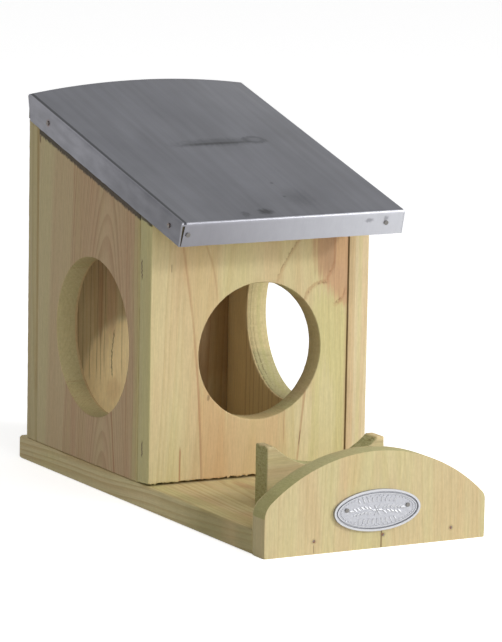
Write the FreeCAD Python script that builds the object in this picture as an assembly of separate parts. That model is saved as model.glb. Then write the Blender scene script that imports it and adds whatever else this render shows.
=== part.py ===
import FreeCAD, Part

import math
import os

Vector = FreeCAD.Vector

# A wooden squirrel feeder: a box with a sheet-covered lean-to roof stands at the rear of a base
# board. A jar of nuts lies through the round hole in the front panel, on the hollowed cradle, and
# its bottom is stopped by the arched board at the front end of the base.
#
# All sizes are millimetres. X runs to the right across the front, Y runs to the rear and Z up.
# The origin is the middle of the feeder's length and width, on the surface that it stands on.

# Boards and box
board_thickness = 15.0
box_width = 157.0
box_depth = 174.0
front_height = 167.0
edge_round = 0.8
front_foot_gap = 0.4

# Base board, from the box's left face to short of its right face
base_left_proud = 0.8
base_right_inset = 3.8
base_tail = 10.6
base_corner_radius = 3.0
base_edge_round = 1.5

# Round holes: one for the jar in front, one in each side for the animal
jar_hole_diameter = 87.0
jar_hole_height = 81.0
side_hole_diameter = 102.0
side_hole_height = 82.5
left_hole_ahead_of_middle = 7.5
right_hole_ahead_of_middle = 5.0

# Roof board under its folded sheet cover
roof_pitch = 14.5
roof_overhang = 37.5
cover_thickness = 0.6
cover_gap = 0.2
cover_fold_radius = 1.3
cover_rear_rise = 7.0
cover_slit_top_width = 1.8
cover_slit_foot_width = 0.5
cover_slit_top_margin = 2.2

# Arched end board
arch_reach = 152.0
arch_height = 60.0
arch_left_end_height = 29.5
arch_right_end_height = 26.7
arch_crown_offset = -1.4
arch_left_shoulder = 13.0
arch_right_shoulder = 7.0

# Jar cradle
cradle_width = 83.0
cradle_height = 39.3
cradle_reach = 90.0
cradle_arc_radius = 52.7
cradle_arc_depth = 14.7

# Oval plaque with a raised rim
plaque_width = 60.0
plaque_height = 25.6
plaque_centre_height = 23.8
plaque_thickness = 1.8
plaque_field_depth = 0.7
plaque_rim_width = 1.7
plaque_groove_width = 0.5
plaque_groove_depth = 0.4
plaque_band_width = 0.9
plaque_pin_spacing = 42.5
plaque_pin_rise = 1.5

# Nails and screws
pin_diameter = 1.4
pin_head_diameter = 2.6
pin_head_height = 0.7
pin_length = 10.0
brad_diameter = 1.9
brad_length = 38.0
clout_diameter = 1.6
clout_head_diameter = 3.0
clout_head_height = 0.7
clout_length = 16.0
screw_diameter = 3.2
screw_head_diameter = 6.6
screw_head_height = 2.6
screw_length = 38.0
hole_clearance = 0.05

# Places of the nails and screws
arch_nail_offset = 5.0
arch_nail_spacing = 48.0
arch_nail_rise = 0.5
cover_nail_from_front = 15.2
cover_nail_from_rear = 32.4
front_cover_nail_left_inset = 5.0
front_cover_nail_right_inset = 13.0
roof_nail_from_wall_end = 52.0
corner_nail_margin = 30.0
side_screw_from_front = 25.0
cradle_screw_spacing = 50.0

# Worked-out levels and planes
pitch = math.radians(roof_pitch)
base_top = board_thickness
front_y = (arch_reach + plaque_thickness - box_depth - base_tail) / 2
back_y = front_y + box_depth
base_rear_y = back_y + base_tail
arch_front_y = front_y - arch_reach
base_front_y = arch_front_y + board_thickness
cradle_front_y = front_y - cradle_reach
box_left = -box_width / 2
box_right = box_width / 2
base_left = box_left - base_left_proud
base_right = box_right - base_right_inset
base_middle = (base_left + base_right) / 2
front_panel_right = box_right - board_thickness
side_front_y = front_y + board_thickness
side_rear_y = back_y - board_thickness
roof_foot_length = (roof_overhang + box_depth) / math.cos(pitch)
roof_board_length = roof_foot_length + board_thickness * math.tan(pitch)
cover_width = box_width + 2 * (cover_gap + cover_thickness)
cover_height = board_thickness + cover_gap + cover_thickness
cover_length = roof_board_length + cover_gap + cover_thickness


def box(x0, x1, y0, y1, z0, z1):
    """A square-edged block between three pairs of planes."""
    return Part.makeBox(x1 - x0, y1 - y0, z1 - z0, Vector(x0, y0, z0))


def cylinder(start, direction, radius, length):
    """A round bar or bore from a start point."""
    return Part.makeCylinder(radius, length, start, direction)


def edges_where(shape, test):
    """The straight edges of a solid whose two end points pass a test."""
    found = []
    for edge in shape.Edges:
        if len(edge.Vertexes) != 2:
            continue
        if not isinstance(edge.Curve, Part.Line):
            continue
        a = edge.Vertexes[0].Point
        b = edge.Vertexes[1].Point
        if test(a, b):
            found.append(edge)
    return found


def along(axis):
    """A test for edges that run along one axis only."""
    others = [name for name in "xyz" if name != axis]

    def test(a, b):
        return all(abs(getattr(a, name) - getattr(b, name)) < 1e-6 for name in others)

    return test


def soften(shape, radius, axes):
    """Rounds the arrises of a board that run along the given axes."""
    edges = []
    for axis in axes:
        edges += edges_where(shape, along(axis))
    return shape.makeFillet(radius, edges)


def roof_underside(y):
    """Height of the plane that the roof board lies on, at a place along the depth."""
    return base_top + front_height + (y - front_y) * math.tan(pitch)


def below_roof(shape):
    """Cuts a wall off along the underside of the roof board."""
    reach = 2 * (box_width + box_depth)
    low = front_y - reach
    high = back_y + reach
    profile = Part.makePolygon(
        [
            Vector(-reach, low, roof_underside(low)),
            Vector(-reach, high, roof_underside(high)),
            Vector(-reach, high, roof_underside(high) + reach),
            Vector(-reach, low, roof_underside(high) + reach),
            Vector(-reach, low, roof_underside(low)),
        ]
    )
    wedge = Part.Face(profile).extrude(Vector(2 * reach, 0, 0))
    return shape.cut(wedge)


def wall_blank(x0, x1, y0, y1, foot):
    """A wall board with softened upright arrises, cut to the slope of the roof at its top."""
    tall = roof_underside(back_y) + board_thickness
    blank = box(x0, x1, y0, y1, foot, tall)
    return below_roof(soften(blank, edge_round, "z"))


def turned(profile):
    """A solid of revolution about Z, from the half profile of radii and heights."""
    points = [Vector(radius, 0, height) for radius, height in profile]
    face = Part.Face(Part.makePolygon(points + points[:1]))
    return face.revolve(Vector(), Vector(0, 0, 1), 360)


def diamond_point(diameter, tip):
    """The four-sided point of a wire nail, as long as the nail is thick."""
    half = diameter / 2 * math.sqrt(0.5)
    base = tip + diameter
    corners = [
        Vector(-half, -half, base),
        Vector(half, -half, base),
        Vector(half, half, base),
        Vector(-half, half, base),
    ]
    end = Part.Vertex(Vector(0, 0, tip))
    return Part.makeLoft([Part.makePolygon(corners + corners[:1]), end], True, True)


def brad():
    """A straight wire nail driven flush. It points down from the origin."""
    shank = cylinder(Vector(), Vector(0, 0, -1), brad_diameter / 2, brad_length - brad_diameter)
    return shank.fuse(diamond_point(brad_diameter, -brad_length))


def flat_nail(diameter, head_diameter, head_height, length):
    """A nail with a flat head. It points down from the origin, on the face of its head."""
    head_and_shank = turned(
        [
            (0, 0),
            (head_diameter / 2, 0),
            (head_diameter / 2, -head_height),
            (diameter / 2, -head_height),
            (diameter / 2, diameter - length),
            (0, diameter - length),
        ]
    )
    return head_and_shank.fuse(diamond_point(diameter, -length))


def screw():
    """A countersunk wood screw that points down from the face of its head."""
    radius = screw_diameter / 2
    return turned(
        [
            (0, 0),
            (screw_head_diameter / 2, 0),
            (radius, -screw_head_height),
            (radius, screw_diameter - screw_length),
            (0, -screw_length),
        ]
    )


def screw_cutter():
    """The countersunk hole for a screw, pointing down from the origin."""
    radius = screw_diameter / 2 + hole_clearance
    depth = screw_length + hole_clearance
    return turned(
        [
            (0, 0),
            (screw_head_diameter / 2 + hole_clearance, 0),
            (radius, -screw_head_height),
            (radius, -depth),
            (0, -depth),
        ]
    )


def straight_cutter(diameter, length):
    """The hole that a nail leaves, pointing down from the origin."""
    radius = diameter / 2 + hole_clearance
    return cylinder(Vector(), Vector(0, 0, -1), radius, length + hole_clearance)


def pointed(shape, place, direction):
    """A copy of a fastener or cutter moved to a place and turned to point in a direction."""
    copy = shape.copy()
    turn = FreeCAD.Rotation(Vector(0, 0, -1), direction)
    copy.Placement = FreeCAD.Placement(place, turn)
    return copy


def many(shape, places, direction):
    """One fastener repeated at several places."""
    return [pointed(shape, place, direction) for place in places]


def brad_cutter():
    return straight_cutter(brad_diameter, brad_length)


def clout():
    """A short flat-headed nail for the sheet cover."""
    return flat_nail(clout_diameter, clout_head_diameter, clout_head_height, clout_length)


def clout_cutter():
    return straight_cutter(clout_diameter, clout_length)


def plaque_pin():
    return flat_nail(pin_diameter, pin_head_diameter, pin_head_height, pin_length)


def plaque_pin_cutter():
    return straight_cutter(pin_diameter, pin_length)


# Where each group of fasteners goes


def arch_nail_places():
    """The face of the arched board, in line with the front end of the base board."""
    middle = base_middle + arch_nail_offset
    xs = [middle - arch_nail_spacing, middle, middle + arch_nail_spacing]
    return [Vector(x, arch_front_y, board_thickness / 2 + arch_nail_rise) for x in xs]


def plaque_pin_places():
    """The face of the plaque's recessed field, at both ends of its long axis."""
    y = arch_front_y - plaque_thickness + plaque_field_depth - pin_head_height
    z = plaque_centre_height + plaque_pin_rise
    half = plaque_pin_spacing / 2
    return [Vector(base_middle - half, y, z), Vector(base_middle + half, y, z)]


def wall_screw_places():
    """The underside of the base board, one below each wall. Those of the sides miss the holes."""
    half = board_thickness / 2
    side_y = side_front_y + side_screw_from_front
    return [
        Vector((box_left + front_panel_right) / 2, front_y + half, 0),
        Vector(0, back_y - half, 0),
        Vector(box_left + half, side_y, 0),
        Vector(box_right - half, side_y, 0),
    ]


def cradle_screw_places():
    y = cradle_front_y + board_thickness / 2
    half = cradle_screw_spacing / 2
    return [Vector(base_middle - half, y, 0), Vector(base_middle + half, y, 0)]


def corner_nail_heights(y):
    """One nail near the foot of a corner and one near its top, clear of the round holes."""
    return [base_top + corner_nail_margin, roof_underside(y) - corner_nail_margin]


def back_nail_places():
    """The rear face, in line with the rear ends of both side panels."""
    xs = [box_left + board_thickness / 2, box_right - board_thickness / 2]
    return [Vector(x, back_y, z) for x in xs for z in corner_nail_heights(back_y)]


def right_nail_places():
    """The right face, in line with the front panel's right edge."""
    y = front_y + board_thickness / 2
    return [Vector(box_right, y, z) for z in corner_nail_heights(front_y)]


# The roof is drawn lying flat and then tilted. Flat, X is across, Y runs up the slope from the
# lower front edge of the roof board and Z is square to the board, from its underside.


def on_roof(shape):
    """Tilts a shape drawn flat on to the sloping walls."""
    y = front_y - roof_overhang
    origin = Vector(0, y, roof_underside(y))
    turn = FreeCAD.Rotation(Vector(1, 0, 0), roof_pitch)
    placed = shape.copy()
    placed.Placement = FreeCAD.Placement(origin, turn).multiply(shape.Placement)
    return placed


def cover_section(width, height, rise, y):
    """The outline across the cover: two upright flanges, two folds and a level or arched top."""
    half = width / 2
    r = cover_fold_radius
    k = r * (1 - math.sqrt(0.5))
    lean = 2 * rise / (half - r) * r
    left_foot = Vector(-half, y, 0)
    left_side = Vector(-half, y, height - r)
    left_fold = Vector(-half + k, y, height - k)
    left_top = Vector(-half + r, y, height + lean / 2)
    right_top = Vector(half - r, y, height + lean / 2)
    right_fold = Vector(half - k, y, height - k)
    right_side = Vector(half, y, height - r)
    right_foot = Vector(half, y, 0)
    if rise > 0:
        crown = Vector(0, y, height + rise)
        top = Part.Arc(left_top, crown, right_top).toShape()
    else:
        top = Part.makeLine(left_top, right_top)
    return Part.Wire(
        [
            Part.makeLine(left_foot, left_side),
            Part.Arc(left_side, left_fold, left_top).toShape(),
            top,
            Part.Arc(right_top, right_fold, right_side).toShape(),
            Part.makeLine(right_side, right_foot),
            Part.makeLine(right_foot, left_foot),
        ]
    )


def cover_block(inset, front, rear, foot):
    """The solid space under a skin of the cover, whose top arches more and more to the rear."""
    width = cover_width - 2 * inset
    height = cover_height - inset - foot
    rise_per_length = cover_rear_rise / cover_length
    sections = []
    for y in (front, rear):
        rise = rise_per_length * (y + cover_gap + cover_thickness)
        wire = cover_section(width, height, rise, y)
        wire.translate(Vector(0, 0, foot))
        sections.append(wire)
    return Part.makeLoft(sections, True, True)


def corner_slit(side):
    """The open slit where the front flange meets a side flange, widest just under the fold."""
    outer = side * (cover_width / 2 - cover_thickness)
    front = -cover_gap - cover_thickness - 1
    top = cover_height - cover_slit_top_margin
    points = [
        Vector(outer, front, -1),
        Vector(outer - side * cover_slit_foot_width, front, -1),
        Vector(outer - side * cover_slit_top_width, front, top),
        Vector(outer, front, top),
        Vector(outer, front, -1),
    ]
    face = Part.Face(Part.makePolygon(points))
    return face.extrude(Vector(0, cover_thickness + 1 + cover_gap / 2, 0))


def plumb_trim(height):
    """The space behind a plumb line that meets the rear end of the roof at this height."""
    width = 2 * cover_width
    below = 1
    foot = roof_board_length - (height + below) * math.tan(pitch)
    behind = roof_board_length + 10
    points = [
        Vector(-width / 2, foot, -below),
        Vector(-width / 2, roof_board_length, height),
        Vector(-width / 2, behind, height),
        Vector(-width / 2, behind, -below),
        Vector(-width / 2, foot, -below),
    ]
    face = Part.Face(Part.makePolygon(points))
    return face.extrude(Vector(width, 0, 0))


def cover_nail_drop():
    """Height of the nails in the flanges, half way up them."""
    return cover_height / 2


def side_cover_nail_places(side):
    """Nail heads on a side flange, near both ends of the slope."""
    x = side * (cover_width / 2 + clout_head_height)
    z = cover_nail_drop()
    ends = (cover_nail_from_front, roof_board_length - cover_nail_from_rear)
    return [Vector(x, y, z) for y in ends]


def front_cover_nail_places():
    y = -cover_gap - cover_thickness - clout_head_height
    z = cover_nail_drop()
    left = -cover_width / 2 + front_cover_nail_left_inset
    right = cover_width / 2 - front_cover_nail_right_inset
    return [Vector(left, y, z), Vector(right, y, z)]


def roof_nail_places():
    """The top of the roof board, above both side panels."""
    first = (roof_overhang + roof_nail_from_wall_end) / math.cos(pitch)
    last = (roof_overhang + box_depth - roof_nail_from_wall_end) / math.cos(pitch)
    xs = [box_left + board_thickness / 2, box_right - board_thickness / 2]
    return [Vector(x, y, board_thickness) for x in xs for y in (first, last)]


def cover_nail_cutters():
    """Holes for the cover's nails, still drawn flat."""
    cutters = many(clout_cutter(), side_cover_nail_places(-1), Vector(1, 0, 0))
    cutters += many(clout_cutter(), side_cover_nail_places(1), Vector(-1, 0, 0))
    cutters += many(clout_cutter(), front_cover_nail_places(), Vector(0, 1, 0))
    return cutters


# The pieces


def base_board():
    """Its long arrises are rounded along their whole length, and its rear corners in plan."""
    board = box(base_left, base_right, base_front_y, base_rear_y, 0, base_top)
    plan = board.makeFillet(
        base_corner_radius,
        edges_where(board, lambda a, b: along("z")(a, b) and a.y > back_y),
    )
    board = soften(board, base_edge_round, "y").common(plan)
    cutters = many(screw_cutter(), wall_screw_places(), Vector(0, 0, 1))
    cutters += many(screw_cutter(), cradle_screw_places(), Vector(0, 0, 1))
    cutters += many(brad_cutter(), arch_nail_places(), Vector(0, 1, 0))
    return board.cut(cutters)


def front_panel():
    """It covers the front end of the left side panel and butts against the right one."""
    foot = base_top + front_foot_gap
    panel = wall_blank(box_left, front_panel_right, front_y, side_front_y, foot)
    centre = Vector(0, front_y, base_top + jar_hole_height)
    cutters = [cylinder(centre, Vector(0, 1, 0), jar_hole_diameter / 2, board_thickness)]
    cutters += many(screw_cutter(), wall_screw_places(), Vector(0, 0, 1))
    cutters += many(brad_cutter(), right_nail_places(), Vector(-1, 0, 0))
    return panel.cut(cutters)


def side_hole(x, ahead_of_middle):
    middle_y = (front_y + back_y) / 2
    centre = Vector(x, middle_y - ahead_of_middle, base_top + side_hole_height)
    return cylinder(centre, Vector(1, 0, 0), side_hole_diameter / 2, board_thickness)


def left_side_panel():
    """It stands between the front and back panels."""
    inner = box_left + board_thickness
    panel = wall_blank(box_left, inner, side_front_y, side_rear_y, base_top)
    cutters = [side_hole(box_left, left_hole_ahead_of_middle)]
    cutters += many(screw_cutter(), wall_screw_places(), Vector(0, 0, 1))
    cutters += many(brad_cutter(), back_nail_places(), Vector(0, -1, 0))
    cutters += [on_roof(c) for c in many(brad_cutter(), roof_nail_places(), Vector(0, 0, -1))]
    return panel.cut(cutters)


def right_side_panel():
    """Its front end shows beside the front panel, and the back panel covers its rear end."""
    inner = box_right - board_thickness
    panel = wall_blank(inner, box_right, front_y, side_rear_y, base_top)
    cutters = [side_hole(inner, right_hole_ahead_of_middle)]
    cutters += many(screw_cutter(), wall_screw_places(), Vector(0, 0, 1))
    cutters += many(brad_cutter(), back_nail_places(), Vector(0, -1, 0))
    cutters += many(brad_cutter(), right_nail_places(), Vector(-1, 0, 0))
    cutters += [on_roof(c) for c in many(brad_cutter(), roof_nail_places(), Vector(0, 0, -1))]
    return panel.cut(cutters)


def back_panel():
    panel = wall_blank(box_left, box_right, side_rear_y, back_y, base_top)
    cutters = many(screw_cutter(), wall_screw_places(), Vector(0, 0, 1))
    cutters += many(brad_cutter(), back_nail_places(), Vector(0, -1, 0))
    return panel.cut(cutters)


def roof_board():
    """Its rear end is cut plumb, level with the back panel."""
    board = box(-box_width / 2, box_width / 2, 0, roof_board_length, 0, board_thickness)
    board = soften(board, edge_round, "y")
    cutters = [plumb_trim(board_thickness)] + cover_nail_cutters()
    cutters += many(brad_cutter(), roof_nail_places(), Vector(0, 0, -1))
    return on_roof(board.cut(cutters))


def zinc_roof_cover():
    """One thin sheet folded down on three sides; its free rear edge springs up in a low arch."""
    front = -cover_gap - cover_thickness
    skin = cover_block(0, front, roof_board_length, 0)
    fold = edges_where(skin, lambda a, b: along("x")(a, b) and a.y < 0 and a.z > board_thickness)
    skin = skin.makeFillet(cover_fold_radius, fold)
    hollow = cover_block(cover_thickness, -cover_gap, roof_board_length + 10, -10)
    cutters = [hollow, corner_slit(-1), corner_slit(1)]
    cutters.append(plumb_trim(cover_height - cover_fold_radius))
    sheet = skin.cut(cutters + cover_nail_cutters())
    return on_roof(sheet)


def front_arch_board():
    """A board with a bow-shaped top and a rounded shoulder at each end."""
    y = arch_front_y
    left_foot = Vector(base_left, y, 0)
    right_foot = Vector(base_right, y, 0)
    left_end = Vector(base_left, y, arch_left_end_height)
    right_end = Vector(base_right, y, arch_right_end_height)
    crown = Vector(base_middle + arch_crown_offset, y, arch_height)
    outline = Part.Wire(
        [
            Part.makeLine(left_foot, right_foot),
            Part.makeLine(right_foot, right_end),
            Part.Arc(right_end, crown, left_end).toShape(),
            Part.makeLine(left_end, left_foot),
        ]
    )
    board = Part.Face(outline).extrude(Vector(0, board_thickness, 0))
    for x, radius in ((base_left, arch_left_shoulder), (base_right, arch_right_shoulder)):
        corner = edges_where(
            board,
            lambda a, b, x=x: along("y")(a, b) and abs(a.x - x) < 1e-6 and a.z > 1,
        )
        board = board.makeFillet(radius, corner)
    cutters = many(brad_cutter(), arch_nail_places(), Vector(0, 1, 0))
    cutters += many(plaque_pin_cutter(), plaque_pin_places(), Vector(0, 1, 0))
    return board.cut(cutters)


def jar_cradle():
    """An upright block whose top is hollowed to an arc that the jar lies in."""
    x0 = base_middle - cradle_width / 2
    x1 = base_middle + cradle_width / 2
    top = base_top + cradle_height
    block = box(x0, x1, cradle_front_y, cradle_front_y + board_thickness, base_top, top)
    axis_height = top - cradle_arc_depth + cradle_arc_radius
    start = Vector(base_middle, cradle_front_y - 1, axis_height)
    hollow = cylinder(start, Vector(0, 1, 0), cradle_arc_radius, board_thickness + 2)
    cutters = [hollow] + many(screw_cutter(), cradle_screw_places(), Vector(0, 0, 1))
    return block.cut(cutters)


def oval_prism(inset, depth_from, depth_to):
    """An oval slice of the plaque, between two distances out from the arched board."""
    y = arch_front_y - depth_from
    centre = Vector(base_middle, y, plaque_centre_height)
    long_end = centre + Vector(plaque_width / 2 - inset, 0, 0)
    short_end = centre + Vector(0, 0, plaque_height / 2 - inset)
    oval = Part.Ellipse(long_end, short_end, centre).toShape()
    face = Part.Face(Part.Wire([oval]))
    return face.extrude(Vector(0, depth_from - depth_to, 0))


def oval_plaque():
    """A cast oval with a raised rim, a groove and a bead inside it, and a sunken plain field."""
    face = plaque_thickness
    field = plaque_thickness - plaque_field_depth
    groove = field - plaque_groove_depth
    groove_start = plaque_rim_width
    groove_end = groove_start + plaque_groove_width
    field_start = groove_end + plaque_band_width
    plate = oval_prism(0, 0, face)
    ring = oval_prism(groove_start, groove, face + 1).cut(oval_prism(groove_end, 0, face + 2))
    field_cut = oval_prism(field_start, field, face + 1)
    cutters = [ring, field_cut]
    cutters += many(plaque_pin_cutter(), plaque_pin_places(), Vector(0, 1, 0))
    return plate.cut(cutters)


def on_roof_group(shape, places, direction):
    """Fasteners drawn with the flat roof and tilted with it."""
    return Part.makeCompound([on_roof(s) for s in many(shape, places, direction)])


def group(shape, places, direction):
    return Part.makeCompound(many(shape, places, direction))


def all_nodes():
    """Every node's name with the shape that it holds."""
    back = Vector(0, 1, 0)
    forward = Vector(0, -1, 0)
    up = Vector(0, 0, 1)
    down = Vector(0, 0, -1)
    left = Vector(-1, 0, 0)
    right = Vector(1, 0, 0)
    return {
        "base_board": base_board(),
        "front_panel": front_panel(),
        "left_side_panel": left_side_panel(),
        "right_side_panel": right_side_panel(),
        "back_panel": back_panel(),
        "roof_board": roof_board(),
        "zinc_roof_cover": zinc_roof_cover(),
        "front_arch_board": front_arch_board(),
        "jar_cradle": jar_cradle(),
        "oval_plaque": oval_plaque(),
        "plaque_pins": group(plaque_pin(), plaque_pin_places(), back),
        "arch_board_nails": group(brad(), arch_nail_places(), back),
        "back_panel_nails": group(brad(), back_nail_places(), forward),
        "right_panel_nails": group(brad(), right_nail_places(), left),
        "wall_screws": group(screw(), wall_screw_places(), up),
        "cradle_screws": group(screw(), cradle_screw_places(), up),
        "roof_board_nails": on_roof_group(brad(), roof_nail_places(), down),
        "left_cover_nails": on_roof_group(clout(), side_cover_nail_places(-1), right),
        "right_cover_nails": on_roof_group(clout(), side_cover_nail_places(1), left),
        "front_cover_nails": on_roof_group(clout(), front_cover_nail_places(), back),
    }


def main():
    os.makedirs("parts", exist_ok=True)
    for name, shape in all_nodes().items():
        solids = len(shape.Solids)
        print(name, solids, "solids, valid" if shape.isValid() else "solids, NOT VALID")
        shape.exportStep(os.path.join("parts", name + ".step"))


main()
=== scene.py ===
import math
from contextlib import contextmanager
from typing import NamedTuple

import bmesh
import bpy
from bpy.props import FloatProperty, FloatVectorProperty, PointerProperty
from mathutils import Euler, Matrix, Vector


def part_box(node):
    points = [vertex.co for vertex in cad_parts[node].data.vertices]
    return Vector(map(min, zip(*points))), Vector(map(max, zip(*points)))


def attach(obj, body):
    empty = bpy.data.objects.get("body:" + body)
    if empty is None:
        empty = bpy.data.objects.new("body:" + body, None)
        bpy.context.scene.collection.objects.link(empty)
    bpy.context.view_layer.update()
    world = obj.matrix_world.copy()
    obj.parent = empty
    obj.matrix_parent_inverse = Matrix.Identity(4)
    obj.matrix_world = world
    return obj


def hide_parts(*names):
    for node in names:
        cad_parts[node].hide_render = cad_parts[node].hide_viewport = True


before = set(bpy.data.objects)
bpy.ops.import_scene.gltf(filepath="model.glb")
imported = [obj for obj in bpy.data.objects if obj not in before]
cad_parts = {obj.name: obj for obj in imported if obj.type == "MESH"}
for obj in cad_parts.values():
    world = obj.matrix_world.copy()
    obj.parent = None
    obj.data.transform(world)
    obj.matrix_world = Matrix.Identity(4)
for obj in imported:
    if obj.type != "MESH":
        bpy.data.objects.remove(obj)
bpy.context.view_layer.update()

bl_info = {
    "name": "Squirrel Feeder Box",
    "version": (1, 0, 0),
    "blender": (4, 5, 0),
    "location": "3D View > Sidebar > Feeder",
    "description": "A pine feeder with a folded zinc roof, an arched end board and a cast plaque",
    "category": "Object",
}

# Everything is in metres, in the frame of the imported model: X to the right across the front,
# Y to the rear, Z up, with the origin under the middle of the feeder.
MM = 0.001

X = Vector((1, 0, 0))
Y = Vector((0, 1, 0))
Z = Vector((0, 0, 1))

# A board's second material: faces left by the saw
SAWN = 1

# How near a vertex must be to a cutting plane to count as on it
HAIR = 0.001 * MM

# Rise of the roof on its length, the tangent of its pitch
SLOPE = 0.2586


def linear(code):
    """The linear colour of an sRGB hex value, with full cover."""
    channels = [int(code[i : i + 2], 16) / 255 for i in (1, 3, 5)]
    rgb = [c / 12.92 if c <= 0.04045 else ((c + 0.055) / 1.055) ** 2.4 for c in channels]
    return (*rgb, 1.0)


def size(name, description, default):
    """A length that a user may change."""
    return FloatProperty(
        name=name, description=description, default=default, unit="LENGTH", precision=4
    )


def angle(name, description, degrees):
    """An angle that a user may change."""
    turn = math.radians(degrees)
    return FloatProperty(name=name, description=description, default=turn, subtype="ANGLE")


def amount(name, description, default, unit="NONE"):
    """A strength or a power that a user may change."""
    return FloatProperty(name=name, description=description, default=default, min=0.0, unit=unit)


def colour(name, description, code):
    """A colour that a user may change, given as an sRGB hex value."""
    limits = {"size": 4, "min": 0.0, "max": 1.0, "subtype": "COLOR"}
    return FloatVectorProperty(
        name=name, description=description, default=linear(code), **limits
    )


class FeederSizes(bpy.types.PropertyGroup):
    """Sizes of the details that the boards' outer sizes don't give."""

    jar_hole: size("Jar hole", "Diameter of the hole in the front panel", 0.087)
    jar_hole_rise: size("Jar hole height", "Centre of the jar hole above the base", 0.081)
    side_hole: size("Side hole", "Diameter of the hole in each side panel", 0.102)
    side_hole_rise: size("Side hole height", "Centre of a side hole above the base", 0.0825)
    left_hole_forward: size("Left hole forward", "Left hole ahead of the box's middle", 0.0075)
    right_hole_forward: size("Right hole forward", "Right hole ahead of the box's middle", 0.005)
    roof_pitch: angle("Roof pitch", "Slope of the roof", 14.5)
    arris: size("Arris", "Width of the softened edges of the boards", 0.0007)
    wear: size("Wear", "How deep the edges of the boards are worn or torn", 0.0004)
    foot_tear: size("Foot tear", "How high the front panel's foot is torn off in places", 0.003)
    base_arris: size("Base arris", "Width of the rounded edges of the base", 0.0012)
    base_corner: size("Base corner", "Radius of the two rear corners of the base", 0.003)
    arch_left_end: size("Arch left end", "Height of the arch at its left end", 0.0295)
    arch_right_end: size("Arch right end", "Height of the arch at its right end", 0.0267)
    arch_crown_shift: size("Arch crown shift", "Crown of the arch right of the middle", -0.0014)
    left_shoulder: size("Left shoulder", "Radius of the arched board's left shoulder", 0.013)
    right_shoulder: size("Right shoulder", "Radius of the arched board's right shoulder", 0.007)
    cradle_radius: size("Cradle radius", "Radius of the hollow for the jar", 0.0527)
    cradle_depth: size("Cradle depth", "Depth of the hollow for the jar", 0.0147)
    splinters: size("Splinters", "How far torn fibres stand up at the cradle's left end", 0.0032)
    sheet: size("Sheet", "Thickness of the zinc sheet", 0.0006)
    sheet_gap: size("Sheet gap", "Play between the sheet and the roof board", 0.0002)
    fold: size("Fold", "Outer radius of the folds in the sheet", 0.0013)
    slit_top: size("Slit top", "Width of the open corner slits just under the fold", 0.0018)
    slit_foot: size("Slit foot", "Width of the open corner slits at the foot", 0.0005)
    slit_margin: size("Slit margin", "Sheet left whole above a corner slit", 0.0022)
    rear_trim: angle("Rear trim", "Lean of the cut at the side flanges' rear ends", 27.0)
    rear_rise: size("Rear rise", "How far the sheet arches up at its rear edge", 0.006)
    right_lift: size("Right lift", "How far the sheet's rear right corner stands off", 0.0017)
    plaque_rim: size("Plaque rim", "Width of the plaque's raised rim", 0.0017)
    plaque_sink: size("Plaque sink", "Depth of the plaque's field below its rim", 0.0007)
    leaf_length: size("Leaf length", "Length of a leaf of the plaque's sprigs", 0.0046)
    leaf_width: size("Leaf width", "Width of a leaf of the plaque's sprigs", 0.0018)


class FeederWood(bpy.types.PropertyGroup):
    """Colours of the pine."""

    sapwood: colour("Sapwood", "Pale early wood of the outer rings", "#D0C094")
    sap_lines: colour("Sapwood lines", "Late wood of the outer rings", "#B59C6A")
    heartwood: colour("Heartwood", "Early wood of the inner rings", "#CBAF89")
    heart_lines: colour("Heartwood lines", "Late wood of the inner rings", "#9C6F4C")
    pale: colour("Pale wood", "The lightest boards", "#DACDA8")
    # Also painted shade on the left panel's inner face
    peach: colour("Peach wood", "Warm zones between the rings", "#C6A174")
    # Also a painted pool of light on the back panel's inner face
    fresh_wood_and_painted_light: colour("Fresh wood", "Clean warm wood out of the weather", "#EDD6A1")
    pink: colour("Pink wood", "Resinous zones near knots", "#BC8E6C")
    treated: colour("Treated tint", "Green cast left by the preservative", "#C0BC7C")
    sawn: colour("Sawn wood", "Torn fibres of sawn edges and end grain", "#B8B67E")
    torn: colour("Torn hollows", "Dark hollows between torn fibres", "#857B48")
    # Also painted shade on the back panel's inner face, in its corner and above its painted pool of
    # light
    inner: colour("Inner wood", "Warm brown of the untreated looking inner faces", "#9A7038")
    red_line: colour("Red line", "Single dark rings", "#A3704A")
    joint: colour("Joint", "Warm brown gap between two boards", "#6B542C")
    knot: colour("Knot wood", "Dark wood at knots and cracks", "#5F4329")
    # Also painted shadow under the roof's flanges and along the roof board's side edges
    shadow: colour("Gap", "Bottom of open cracks", "#2E2414")


class FeederMetal(bpy.types.PropertyGroup):
    """Colours of the metal parts."""

    zinc: colour("Zinc", "Weathered zinc sheet on top", "#696A70")
    # Lighter than the top zinc, a painted reflection of the flanges
    zinc_side: colour("Zinc side", "The sheet's folded side flanges", "#88888E")
    # A painted reflection: the front flange is made lighter than the top for the light that it
    # reflects
    zinc_front_reflection: colour("Zinc front", "The sheet's front flange, wiped clean", "#B1B2B7")
    # Also the painted shade on the left flange and inside the left fold
    zinc_stain: colour("Zinc stain", "Dark stains on the sheet", "#2C2D31")
    cast_plaque: colour("Plaque", "Bright cast metal of the plaque", "#ADAEB1")
    plaque_hollow: colour("Plaque hollows", "Tarnish in the plaque's hollows", "#94959C")
    steel: colour("Steel", "Plain steel of nails and screws", "#74726F")
    rust: colour("Rust", "Rust on nails and around them", "#7E523A")


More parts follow.
